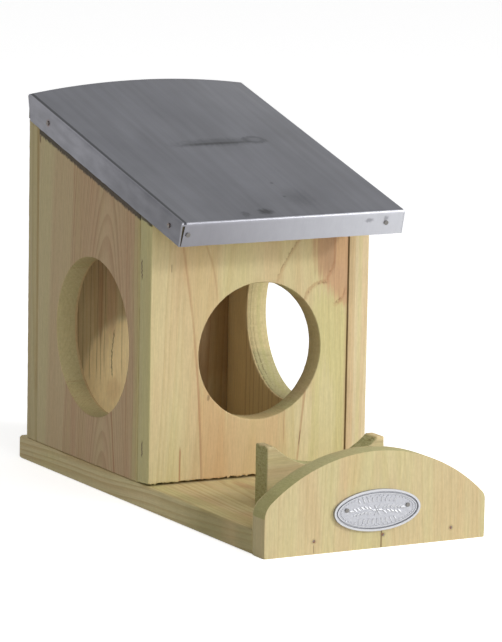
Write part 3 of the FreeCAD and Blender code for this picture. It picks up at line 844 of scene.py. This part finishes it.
def weathered_zinc(metal, pitch, front_edge, half, height):
    """Rolled zinc sheet gone dull: dark grey on top, with fine streaks down the slope and stains.
    Its flanges are lighter and its front flange brightest towards the right, which are painted
    reflections;
    the left flange has painted shade towards its front, and painted shade runs just inside the left
    fold."""
    material, tree, shader = new_material("weathered_zinc_sheet")
    place = add(tree, "TexCoord", output="Object")
    turn = Euler((-pitch, 0, 0))
    shift = -(turn.to_matrix() @ front_edge) / MM
    inputs = {"Vector": place, "Location": shift, "Rotation": turn, "Scale": (1 / MM,) * 3}
    flat = add(tree, "Mapping", inputs)
    clouds = cloudy(tree, flat, (34, 60, 34), 4.0)
    blotches = cloudy(tree, flat, (9, 17, 7), 4.0, shift=5.0)
    broad = cloudy(tree, flat, (5, 160, 9), 3.0, shift=2.7)
    # The mill's fine lines are 1.1 mm apart, coarser than real ones, so that they show
    fine = cloudy(tree, flat, (1.1, 80, 9), 4.0)
    shade = add(tree, "MapRange", (clouds, 0.35, 0.68, 0.22, 0.0))
    coat = Coat(tree, add(tree, "MixRGB", (shade, metal.zinc, metal.zinc_stain)))
    top = Face(coat, flat, "X", "Y", "Z")
    side = Face(coat, flat, "Y", "Z", "X")
    front = Face(coat, flat, "X", "Z", "Y")
    left = up_to(1 - half, 2 - half)
    # Painted reflection: the left flange lighter than the top
    top.lay(top.across, left, metal.zinc_side, 0.9)
    mottle = add(tree, "MapRange", (blotches, 0.35, 0.65, 0.0, 0.22))
    top.lay(top.across, left, metal.zinc_stain, mottle)
    # Painted shade: the left flange darker towards its front
    down = (top.along, 190.0, 30.0, 0.0, 0.34)
    shaded = add(tree, "MapRange", down, interpolation_type="SMOOTHSTEP")
    top.lay(top.across, left, metal.zinc_stain, shaded)
    # Painted reflection: the front flange lighter towards its right, for the light that it reflects
    reflection_share = add(tree, "MapRange", (top.across, -0.75 * half, half, 0.0, 1.0))
    reflected_colour = add(tree, "MixRGB", (reflection_share, metal.zinc_side, metal.zinc_front_reflection))
    ahead = add(tree, "MapRange", (top.along, 0.4, -0.1, 0.0, 1.0))
    coat.body = add(tree, "MixRGB", (ahead, coat.body, reflected_colour))
    stains = (
        (top.oval((6, 116), (33, 6.5)), up_to(-4, 2), 0.45, 1.2),
        (top.oval((4, 114.5), (22, 1.8)), up_to(-1.2, 1.0), 0.85, 0.25),
        (top.oval((33, 118), (7, 5)), (-3, -1, 0, 2), 0.45, 1.0),
        (top.oval((-16, 9), (6, 5)), up_to(-3.5, 1), 0.9, 1.0),
        (top.oval((-31, 7), (3, 4)), up_to(-1.5, 1), 0.5, 1.0),
        (top.oval((17, 27), (11, 14)), up_to(-11, 5), 0.35, 2.0),
        (top.oval((10, 50), (1.0, 1.2)), up_to(-0.4, 0.5), 0.5, 0.3),
        (top.oval((8, 29), (1.0, 1.2)), up_to(-0.4, 0.5), 0.5, 0.3),
        # Painted shade just inside the left fold, where the bend reflects less light
        (top.path(2.2 - half), (-1.2, -0.5, 0.6, 1.7), 0.95, 0.1),
    )
    on_top = (height - 1, 900)
    for offset, spread, share, ragged in stains:
        top.lay(offset, spread, metal.zinc_stain, share, ragged=ragged, skin=on_top)
    for centre, reach in (((15.2, 7.5), 1.6), ((189.9, 7.9), 2.2)):
        halo = side.oval(centre, (reach, reach))
        side.lay(halo, up_to(-0.5, 1.2), metal.rust, 0.3, ragged=0.3, skin=(-90, -70))
    for centre, radii in (((54, 10), (2.5, 1.2)), ((66, 11), (1.5, 1.2))):
        smudge = front.oval(centre, radii)
        front.lay(smudge, up_to(-0.6, 0.8), metal.zinc_stain, 0.4, ragged=0.5, skin=(-9, 0))
    streaks = add(tree, "Math", (broad, 0.6, fine), operation="MULTIPLY_ADD")
    lines = add(tree, "MapRange", (streaks, 0.5, 1.1, 0.78, 1.2))
    plain = add(tree, "Math", (ahead, 0.75), operation="MULTIPLY")
    lines = add(tree, "MixRGB", (plain, lines, (1.0, 1.0, 1.0, 1.0)))
    body = add(tree, "MixRGB", (1.0, coat.body, lines), blend_type="MULTIPLY")
    rough = add(tree, "MapRange", (fine, 0.25, 0.75, 0.34, 0.5))
    bump = add(tree, "Bump", {"Height": fine, "Strength": 0.4, "Distance": 0.06 * MM})
    fill(tree, shader, {"Base Color": body, "Metallic": 1.0, "Roughness": rough, "Normal": bump})
    return material


def cast_metal(metal, front, sink):
    """Cast aluminium: bright on what stands proud, tarnished violet-grey in the hollows."""
    material, tree, shader = new_material("cast_aluminium")
    place = add(tree, "TexCoord", output="Object")
    depth = add(tree, "SeparateXYZ", (place,), "Y")
    levels = (depth, front + 0.6 * sink, front + 1.05 * sink)
    hollow = add(tree, "MapRange", levels, interpolation_type="SMOOTHSTEP")
    # The grain of the mould is 0.7 mm wide, coarser than real sand, so that it shows
    grain = cloudy(tree, place, (0.7 * MM,) * 3)
    spots = add(tree, "MapRange", (grain, 0.3, 0.7, 0.3, 0.8))
    dirt = add(tree, "Math", (hollow, spots), operation="MULTIPLY")
    body = add(tree, "MixRGB", (dirt, metal.cast_plaque, metal.plaque_hollow))
    bump = add(tree, "Bump", {"Height": grain, "Strength": 0.5, "Distance": 0.1 * MM})
    fill(tree, shader, {"Base Color": body, "Metallic": 1.0, "Roughness": 0.52, "Normal": bump})
    return material


def nail_steel(name, metal, rusted):
    """Bare drawn steel, grey where it is clean and matt brown where it has rusted."""
    material, tree, shader = new_material(name)
    place = add(tree, "TexCoord", output="Object")
    spots = cloudy(tree, place, (1.1 * MM,) * 3, 3.0)
    edges = (spots, 0.62 - rusted, 0.72 - 0.6 * rusted)
    rust = add(tree, "MapRange", edges, interpolation_type="SMOOTHSTEP")
    body = add(tree, "MixRGB", (rust, metal.steel, metal.rust))
    clean = add(tree, "MapRange", (rust, 0.0, 1.0, 1.0, 0.15))
    rough = add(tree, "MapRange", (rust, 0.0, 1.0, 0.35, 0.8))
    bump = add(tree, "Bump", {"Height": spots, "Strength": 0.5, "Distance": 0.1 * MM})
    fill(tree, shader, {"Base Color": body, "Metallic": clean, "Roughness": rough, "Normal": bump})
    return material


# Places and steps that several pieces share


def roof_point():
    """A point of the plane on which the roof board lies."""
    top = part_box("front_panel")[1]
    return Vector((0, top.y, top.z))


def new_board(name, node, log, axes, marks):
    """A board's plain block in its node's place, with its two finishes: planed and sawn.

    axes are the ones across the grain, along it and through the board."""
    piece = new_block("pine_" + name, *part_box(node))
    planed = pine(name + "_planed_pine", log, axes, marks)
    give(piece, [planed, pine(name + "_sawn_pine", log, axes, marks, True)])
    return piece


def wall(node, log, axes, marks, hole=None, spacing=3 * MM):
    """A wall board, cut to the slope of the roof at its top, with its round hole if it has one.

    hole is the hole's centre and diameter, and spacing the width of the wear across the board."""
    sizes = bpy.context.scene.feeder_sizes
    pitch = sizes.roof_pitch
    piece = new_board(node, node, log, axes, marks)
    cut_plane(piece, roof_point(), Vector((0, -math.sin(pitch), math.cos(pitch))))
    through = {"X": X, "Y": Y}[axes[2]]
    if hole is not None:
        centre, diameter = hole
        saw_round(piece, centre, through, diameter / 2)
    soften_edges(piece, sizes.arris)
    across = Y if through == X else X
    slices = ((across, spacing), (Z, 3 * MM))
    weather(piece, through, slices, lambda normal: abs(normal.z) > 0.8)
    return piece


class Maker:
    """What the feeder's operators share."""

    bl_options = {"REGISTER", "UNDO"}


class FEEDER_OT_front_panel(Maker, bpy.types.Operator):
    """Makes the front panel with the round hole for the jar"""

    bl_idname = "feeder.front_panel"
    bl_label = "Front panel"

    def execute(self, context):
        sizes = context.scene.feeder_sizes
        low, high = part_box("front_panel")
        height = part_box("base_board")[1].z + sizes.jar_hole_rise
        hole = (Vector((0, (low.y + high.y) / 2, height)), sizes.jar_hole)
        log = Log((-5, 89, 90), (0.01, 0.03, 1), 3.0, contrast=0.3, tone=0.98, torn=0.3)
        piece = wall("front_panel", log, "XZY", front_panel_marks, hole, 1 * MM)
        edge = 1.2 * sizes.arris

        def foot(place, normal):
            return 1.0 if place.z < low.z + edge and place.y < low.y + edge else 0.0

        push(piece, sizes.foot_tear, foot, "Z", 1.3 * MM, 0.15)
        hand_over(piece, "front_panel")
        return {"FINISHED"}


class FEEDER_OT_side_panels(Maker, bpy.types.Operator):
    """Makes the two side panels with their round holes"""

    bl_idname = "feeder.side_panels"
    bl_label = "Side panels"

    def execute(self, context):
        sizes = context.scene.feeder_sizes
        middle = (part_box("front_panel")[0].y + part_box("back_panel")[1].y) / 2
        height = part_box("base_board")[1].z + sizes.side_hole_rise
        left = Log((-38.5, 62, 100), (0.08, -0.012, 1), 1.5, 90, 1.6, 0.55, green=0.25, tone=0.89)
        right = Log((30, 124, 0), (0.02, 0, 1), 2.9, 0, 1.2, 0.4, green=0.2, pale=0.7)
        sides = (
            ("left_side_panel", sizes.left_hole_forward, left, left_panel_marks),
            ("right_side_panel", sizes.right_hole_forward, right, right_panel_marks),
        )
        for node, forward, log, marks in sides:
            low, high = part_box(node)
            centre = Vector(((low.x + high.x) / 2, middle - forward, height))
            piece = wall(node, log, "YZX", marks, (centre, sizes.side_hole))
            if node == "right_side_panel":
                cut_for(piece, "right_panel_nails")
            hand_over(piece, node)
        return {"FINISHED"}


class FEEDER_OT_back_panel(Maker, bpy.types.Operator):
    """Makes the plain back panel"""

    bl_idname = "feeder.back_panel"
    bl_label = "Back panel"

    def execute(self, context):
        log = Log((20, 124, 0), (0, 0.03, 1), 3.4, 45, green=0.1)
        piece = wall("back_panel", log, "XZY", back_panel_marks)
        cut_for(piece, "back_panel_nails")
        hand_over(piece, "back_panel")
        return {"FINISHED"}


class FEEDER_OT_base_board(Maker, bpy.types.Operator):
    """Makes the base board that everything stands on"""

    bl_idname = "feeder.base_board"
    bl_label = "Base board"

    def execute(self, context):
        sizes = context.scene.feeder_sizes
        log = Log((-15, 14, -40), (0, 1, -0.05), 2.7, 52, 1.8, 0.8, tone=1.07, torn=0.4)
        piece = new_board("base_board", "base_board", log, "XYZ", base_board_marks)
        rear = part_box("base_board")[1].y - 0.1 * MM
        with editing(piece):
            select_edges(piece, lambda a, b: min(a.y, b.y) > rear and abs(a.z - b.z) > 1 * MM)
            bpy.ops.mesh.bevel(offset=sizes.base_corner, segments=5)
        soften_edges(piece, sizes.base_arris, 3)
        slices = ((X, 4 * MM), (Y, 2 * MM))
        weather(piece, Z, slices, lambda normal: abs(normal.y) > 0.8, grit=3 * MM)
        hand_over(piece, "base_board")
        return {"FINISHED"}


def circle_through(a, b, c):
    """Centre and radius of the circle through three points of the XZ plane."""
    turns = ((a, b, c), (b, c, a), (c, a, b))
    d = 2 * sum(p[0] * (q[1] - r[1]) for p, q, r in turns)
    x = sum((p[0] ** 2 + p[1] ** 2) * (q[1] - r[1]) for p, q, r in turns) / d
    z = sum((p[0] ** 2 + p[1] ** 2) * (r[0] - q[0]) for p, q, r in turns) / d
    return x, z, math.hypot(a[0] - x, a[1] - z)


class FEEDER_OT_arch_board(Maker, bpy.types.Operator):
    """Makes the arched board at the front end of the base"""

    bl_idname = "feeder.arch_board"
    bl_label = "Arched board"

    def execute(self, context):
        sizes = context.scene.feeder_sizes
        low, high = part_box("front_arch_board")
        middle = (low.x + high.x) / 2
        log = Log((0, -132, 0), (0, 0.06, 1), 2.9, 0, 0.9, 0.25, green=0.45, tone=0.9, torn=0.35)
        piece = new_board("arch_board", "front_arch_board", log, "XZY", arch_board_marks)
        left_end = (low.x, sizes.arch_left_end)
        crown = (middle + sizes.arch_crown_shift, high.z)
        right_end = (high.x, sizes.arch_right_end)
        x, z, radius = circle_through(left_end, crown, right_end)
        centre = Vector((x, (low.y + high.y) / 2, z))
        saw_round(piece, centre, Y, radius, 100 * MM, 500, "INTERSECT")
        for side, shoulder in ((-1, sizes.left_shoulder), (1, sizes.right_shoulder)):
            self.round_shoulder(piece, middle, side, high.x - middle, shoulder, (x, z, radius))
        soften_edges(piece, sizes.arris)
        slices = ((X, 1.5 * MM), (Y, 2.5 * MM), (Z, 3 * MM))
        weather(piece, Y, slices, lambda way: abs(way.y) < 0.6 and abs(way.z) > 0.3, 1.8)
        cut_for(piece, "arch_board_nails")
        hand_over(piece, "front_arch_board")
        return {"FINISHED"}

    def round_shoulder(self, piece, middle, side, half, shoulder, arch, cuts=8):
        """Rounds the corner between the arch and one end of the board with a fan of cuts."""
        x, z, radius = arch
        round_x = side * half + middle - side * shoulder
        round_z = z + math.sqrt((radius - shoulder) ** 2 - (round_x - x) ** 2)
        last = math.atan2(round_z - z, side * (round_x - x))
        for i in range(cuts):
            turn = last * (i + 0.5) / cuts
            normal = Vector((side * math.cos(turn), 0, math.sin(turn)))
            cut_plane(piece, Vector((round_x, 0, round_z)) + normal * shoulder, normal)


class FEEDER_OT_jar_cradle(Maker, bpy.types.Operator):
    """Makes the hollowed block that the jar lies on"""

    bl_idname = "feeder.jar_cradle"
    bl_label = "Jar cradle"

    def execute(self, context):
        sizes = context.scene.feeder_sizes
        low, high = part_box("jar_cradle")
        log = Log((0, -56, 10), (1, 0.02, 0.02), 3.5, 0, 1.5, 0.25, green=0.4, tone=0.95, torn=1.0)
        piece = new_board("jar_cradle", "jar_cradle", log, "ZXY", cradle_marks)
        rise = high.z - sizes.cradle_depth + sizes.cradle_radius
        centre = Vector(((low.x + high.x) / 2, (low.y + high.y) / 2, rise))
        saw_round(piece, centre, Y, sizes.cradle_radius)
        soften_edges(piece, sizes.arris)
        slices = ((X, 0.8 * MM), (Z, 2 * MM), (Y, 1.2 * MM))
        weather(piece, Y, slices, lambda normal: abs(normal.x) > 0.8)

        def splintered(place, normal):
            near_end = 1 - (place.x - low.x) / (9 * MM)
            return near_end if place.z > high.z - 0.8 * MM else 0.0

        push(piece, sizes.splinters, splintered, "Z", 0.9 * MM, 0.66)
        hand_over(piece, "jar_cradle")
        return {"FINISHED"}


class FEEDER_OT_roof_cover(Maker, bpy.types.Operator):
    """Makes the folded zinc sheet over the roof board"""

    bl_idname = "feeder.roof_cover"
    bl_label = "Zinc roof cover"

    def execute(self, context):
        sizes = context.scene.feeder_sizes
        pitch = sizes.roof_pitch
        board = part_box("base_board")[1].z
        board_low, board_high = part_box("roof_board")
        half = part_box("zinc_roof_cover")[1].x
        front = -sizes.sheet_gap - sizes.sheet
        height = board - front
        edge = Vector((0, board_low.y + board * math.sin(pitch), 0))
        edge.z = roof_point().z + (edge.y - roof_point().y) * math.tan(pitch)
        length = (board_high.y - edge.y) / math.cos(pitch) + board * math.tan(pitch)
        low = Vector((-half, front, 0))
        piece = new_block("zinc_cover", low, Vector((half, length, height)))
        near = 0.01 * MM
        with editing(piece):
            select_faces(piece, lambda normal: normal.z < -0.9 or normal.y > 0.9)
            bpy.ops.mesh.delete(type="FACE")
            top = height - near
            rear = length - near
            select_edges(piece, lambda a, b: min(a.z, b.z) > top and min(a.y, b.y) < rear)
            bpy.ops.mesh.bevel(offset=sizes.fold, segments=4, affect="EDGES")
        trim = Vector((0, math.cos(sizes.rear_trim), -math.sin(sizes.rear_trim)))
        cut_plane(piece, Vector((0, length, height - sizes.fold)), trim, False)
        slice_up(piece, ((X, 4 * MM), (Y, 4 * MM), (Z, 2.5 * MM)))
        self.spring(piece, sizes, half, length, height)
        modify(piece, "SOLIDIFY", thickness=sizes.sheet, offset=-1)
        for side, share in ((-1, 1.0), (1, 0.2)):
            self.open_corner(piece, sizes, side, share, half - sizes.sheet, height)
        piece.rotation_euler = (pitch, 0, 0)
        piece.location = edge
        settle(piece)
        zinc = weathered_zinc(context.scene.feeder_metal, pitch, edge, half / MM, height / MM)
        give(piece, [zinc])
        hand_over(piece, "zinc_roof_cover", 30)
        return {"FINISHED"}

    def spring(self, piece, sizes, half, length, height):
        """Lets the sheet rise towards its free rear edge, and makes it and its foot uneven."""
        crease = half - sizes.fold

        def arch(place, normal):
            if place.z < height - sizes.fold:
                return 0.0
            return max(0.0, 1 - (place.x / crease) ** 2) * max(0.0, place.y) / length

        def right_corner(place, normal):
            return (place.x / half + 1) / 2 * max(0.0, place.y) / length

        def flat(place, normal):
            return 1.0 if normal.z > 0.95 else 0.0

        def foot(place, normal):
            return 1.0 if place.z < 0.1 * MM else 0.0

        push(piece, sizes.rear_rise, arch, "Z")
        push(piece, sizes.right_lift, right_corner, "Z")
        push(piece, 0.3 * MM, flat, "Z", 45 * MM, 0.6)
        push(piece, 0.5 * MM, foot, "Z", 3 * MM, 0.5)

    def open_corner(self, piece, sizes, side, share, outer, height):
        """Opens the slit where the front flange meets a side flange, widest at its top."""
        foot = share * sizes.slit_foot
        inner = side * (outer - foot)
        ends = sorted((side * outer, inner))
        low = Vector((ends[0], -3 * MM, -1 * MM))
        high = Vector((ends[1], -sizes.sheet_gap / 2, height - sizes.slit_margin))
        tool = new_block("slit_tool", low, high)
        near = 0.1 * MM

        def at_inner_top(a, b):
            return min(a.z, b.z) > high.z - near and max(abs(a.x - inner), abs(b.x - inner)) < near

        with editing(tool):
            select_edges(tool, at_inner_top)
            widen = -side * (share * sizes.slit_top - foot)
            bpy.ops.transform.translate(value=(widen, 0, 0))
        combine(piece, tool)


class FEEDER_OT_plaque(Maker, bpy.types.Operator):
    """Makes the cast oval plaque with its rim, beads and leaf sprigs"""

    bl_idname = "feeder.plaque"
    bl_label = "Oval plaque"

    def execute(self, context):
        sizes = context.scene.feeder_sizes
        low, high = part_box("oval_plaque")
        span = high - low
        middle = (low + high) / 2
        piece = new_bar("cast_plaque", middle, -Y, 0.5, 1, 128, (span.x, span.z, span.y))
        # From the outside in: the rim, the groove inside it, the raised line and the field
        steps = (
            (0.5 * MM, 0.0),
            (sizes.plaque_rim - 0.9 * MM, 0.0),
            (0.4 * MM, -(sizes.plaque_sink + 0.4 * MM)),
            (0.5 * MM, 0.0),
            (0.2 * MM, 0.75 * MM),
            (0.5 * MM, 0.0),
            (0.2 * MM, -0.35 * MM),
        )
        with editing(piece):
            select_faces(piece, lambda normal: normal.y < -0.9)
            for width, rise in steps:
                bpy.ops.mesh.inset(thickness=width, depth=rise)
        field = Vector((middle.x, low.y + sizes.plaque_sink, middle.z))
        combine(piece, self.ornament(sizes, field), "UNION")
        slice_up(piece, ((X, 0.8 * MM), (Z, 0.8 * MM)))
        sunk = field.y - 0.1 * MM

        def in_field(place, normal):
            return 1.0 if normal.y < -0.9 and place.y > sunk else 0.0

        push(piece, 0.25 * MM, in_field, grit=0.8 * MM, level=0.5)
        give(piece, [cast_metal(context.scene.feeder_metal, low.y, sizes.plaque_sink)])
        hand_over(piece, "oval_plaque", 40)
        return {"FINISHED"}

    def leaf(self, sizes):
        """A pointed leaf with a ridge along its middle, half sunk in the plane y = 0."""
        half_length = sizes.leaf_length / 2
        half_width = sizes.leaf_width / 2
        radius = (half_length**2 + half_width**2) / (2 * half_width)
        depth = 0.7 * MM
        above = Vector((0, 0, radius - half_width))
        leaf = new_bar("leaf", above, Y, radius, depth, 96)
        combine(leaf, new_bar("leaf_tool", -above, Y, radius, depth, 96), "INTERSECT")
        for lean in (-0.27, 0.27):
            cut_plane(leaf, Vector((0, -depth / 2, 0)), Vector((0, -1, lean)))
        return leaf

    def leaf_places(self):
        """Where the leaves lie, right of and above the field's middle, their turn and scale."""
        places = []
        lean = math.radians(38)
        for side in (-1, 1):
            for i in range(5):
                x = side * (5.2 + 2.6 * i) * MM
                z = 0.5 * MM * math.sin(i * 1.3)
                for up in (-1, 1):
                    turn = lean * up if side > 0 else math.pi - lean * up
                    places.append((x, z + up * 1.5 * MM, turn, 0.72))
            places.append((side * 17.9 * MM, 0.4 * MM, 0.0, 0.8))
        for i in range(6):
            turn = i * math.pi / 3
            reach = 2.1 * MM
            places.append((reach * math.cos(turn), reach * math.sin(turn), turn, 0.62))
        for up in (-1, 1):
            for i in range(-4, 5):
                z = up * (6.6 - 0.06 * i * i) * MM
                places.append((3.1 * MM * i, z, math.radians(90 - 9 * i * up), 0.66))
        return places

    def ornament(self, sizes, field, beads=52):
        """Two sprigs from a small flower, a fan of leaves above and below, and a row of beads."""
        leaf = self.leaf(sizes)
        pieces = []
        for x, z, turn, scale in self.leaf_places():
            place = Vector((field.x + x, field.y, field.z + z))
            matrix = Matrix.Translation(place) @ Matrix.Rotation(-turn, 4, "Y")
            pieces.append(copy_to(leaf, "leaf", matrix @ Matrix.Diagonal((scale, 1, scale, 1))))
        only()
        bpy.ops.mesh.primitive_ico_sphere_add(subdivisions=2, radius=0.42 * MM)
        bead = start("bead")
        for i in range(beads):
            turn = 2 * math.pi * (i + 0.5) / beads
            x = 25.2 * MM * math.cos(turn)
            z = 8.8 * MM * math.sin(turn)
            place = Vector((field.x + x, field.y, field.z + z))
            pieces.append(copy_to(bead, "bead", Matrix.Translation(place)))
        stud = Matrix.Translation(field) @ Matrix.Diagonal((1.9, 1, 1.9, 1))
        pieces.append(copy_to(bead, "bead", stud))
        bpy.data.objects.remove(leaf)
        bpy.data.objects.remove(bead)
        only(*pieces)
        bpy.ops.object.join()
        return pieces[0]


class FEEDER_OT_fasteners(Maker, bpy.types.Operator):
    """Finishes the nails, pins and screws, and the roof board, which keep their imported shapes"""

    bl_idname = "feeder.fasteners"
    bl_label = "Fasteners and roof board"

    def execute(self, context):
        bright = ("plaque_pins", "wall_screws", "cradle_screws", "front_cover_nails")
        brown = ("arch_board_nails", "back_panel_nails", "right_panel_nails", "roof_board_nails")
        dull = ("left_cover_nails", "right_cover_nails")
        finishes = (
            ("zinc_plated_screw_steel", -0.2, bright),
            ("rusted_nail_steel", 0.25, brown),
            ("stained_nail_steel", 0.08, dull),
        )
        for name, rusted, nodes in finishes:
            steel = nail_steel(name, context.scene.feeder_metal, rusted)
            for node in nodes:
                give(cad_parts[node], [steel])
        log = Log((10, 14, 150), (0, 1, SLOPE), 3.6, 40)
        board = pine("roof_board_planed_pine", log, "XYZ", roof_board_marks)
        give(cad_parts["roof_board"], [board])
        return {"FINISHED"}


class FEEDER_OT_stage(Maker, bpy.types.Operator):
    """Sets up the floor, the lamps, the sky and the camera"""

    bl_idname = "feeder.stage"
    bl_label = "Stage"

    def execute(self, context):
        stage = context.scene.feeder_stage
        self.floor(stage)
        self.sky(context.scene, stage)
        self.camera(context.scene, stage)
        lamps = (
            ("key_lamp", (1, -1, 0.55), 0.25, stage.key_power),
            ("side_lamp", (0.9, -1, 0.2), 1.3, stage.side_power),
            ("top_lamp", (0.2, -1, 1.4), 1.3, stage.top_power),
            ("fill_lamp", (-0.35, -1, 0.3), 1.8, stage.fill_power),
        )
        for name, way, width, power in lamps:
            self.lamp(name, Vector(way), stage.lamp_reach, width, power)
        return {"FINISHED"}

    def seen(self, tree):
        """1 for rays from the camera, from metal and through glass, which see white, else 0."""
        rays = add(tree, "LightPath", output=None).outputs
        pair = (rays["Is Camera Ray"], rays["Is Glossy Ray"])
        glossy = add(tree, "Math", pair, operation="MAXIMUM")
        return add(tree, "Math", (glossy, rays["Is Transmission Ray"]), operation="MAXIMUM")

    def floor(self, stage):
        """A matt pale floor that is seen white except where the feeder's shadow is deepest."""
        only()
        bpy.ops.mesh.primitive_plane_add(size=40)
        floor = start("studio_floor")
        material, tree, shader = new_material("matt_white_floor")
        glow = add(tree, "Math", (self.seen(tree), stage.glow), operation="MULTIPLY")
        fill(tree, shader, {"Base Color": stage.floor, "Roughness": 0.9, "Specular IOR Level": 0.1})
        fill(tree, shader, {"Emission Color": (1, 1, 1, 1), "Emission Strength": glow})
        give(floor, [material])

    def sky(self, scene, stage):
        """An even grey room, white where it is seen."""
        world = bpy.data.worlds.new("studio_room")
        scene.world = world
        world.use_nodes = True
        tree = world.node_tree
        tree.nodes.clear()
        strength = add(tree, "MapRange", (self.seen(tree), 0.0, 1.0, stage.sky, 1.0))
        light = add(tree, "Background", {"Color": (1, 1, 1, 1), "Strength": strength})
        add(tree, "OutputWorld", {"Surface": light}, None)

    def camera(self, scene, stage):
        """A long lens, from the left and a little above."""
        data = bpy.data.cameras.new("camera")
        data.lens = stage.lens
        data.clip_end = 100
        camera = bpy.data.objects.new("camera", data)
        scene.collection.objects.link(camera)
        turn = Matrix.Rotation(-stage.azimuth, 4, "Z")
        tilt = Matrix.Rotation(math.pi / 2 - stage.elevation, 4, "X")
        roll = Matrix.Rotation(stage.roll, 4, "Z")
        camera.matrix_world = Matrix.Translation(stage.place) @ turn @ tilt @ roll
        scene.camera = camera

    def lamp(self, name, way, distance, width, power):
        """A square soft lamp that shines on the feeder's middle."""
        data = bpy.data.lights.new(name, "AREA")
        data.size = width
        data.energy = power
        lamp = bpy.data.objects.new(name, data)
        bpy.context.scene.collection.objects.link(lamp)
        lamp.location = Vector((0, 0, 0.12)) + way.normalized() * distance
        lamp.rotation_euler = way.to_track_quat("Z", "Y").to_euler()


class FEEDER_PT_panel(bpy.types.Panel):
    """Lists the feeder's sizes, colours and pieces in the sidebar"""

    bl_idname = "FEEDER_PT_panel"
    bl_label = "Squirrel feeder box"
    bl_space_type = "VIEW_3D"
    bl_region_type = "UI"
    bl_category = "Feeder"

    def draw(self, context):
        for name in GROUPS:
            settings = getattr(context.scene, name)
            box = self.layout.box()
            for prop in settings.bl_rna.properties:
                if prop.identifier not in ("rna_type", "name"):
                    box.prop(settings, prop.identifier)
        for operator in OPERATORS:
            self.layout.operator(operator.bl_idname)


GROUPS = {
    "feeder_sizes": FeederSizes,
    "feeder_wood": FeederWood,
    "feeder_metal": FeederMetal,
    "feeder_stage": FeederStage,
}
OPERATORS = (
    FEEDER_OT_stage,
    FEEDER_OT_front_panel,
    FEEDER_OT_side_panels,
    FEEDER_OT_back_panel,
    FEEDER_OT_base_board,
    FEEDER_OT_arch_board,
    FEEDER_OT_jar_cradle,
    FEEDER_OT_roof_cover,
    FEEDER_OT_plaque,
    FEEDER_OT_fasteners,
)
CLASSES = (*GROUPS.values(), *OPERATORS, FEEDER_PT_panel)


def register():
    for cls in CLASSES:
        bpy.utils.register_class(cls)
    for name, group in GROUPS.items():
        setattr(bpy.types.Scene, name, PointerProperty(type=group))


def unregister():
    for name in GROUPS:
        delattr(bpy.types.Scene, name)
    for cls in reversed(CLASSES):
        bpy.utils.unregister_class(cls)


def main():
    """Builds the feeder."""
    bpy.context.scene.view_settings.view_transform = "Standard"
    register()
    for operator in OPERATORS:
        group, name = operator.bl_idname.split(".")
        getattr(getattr(bpy.ops, group), name)()


if __name__ == "__main__":
    main()
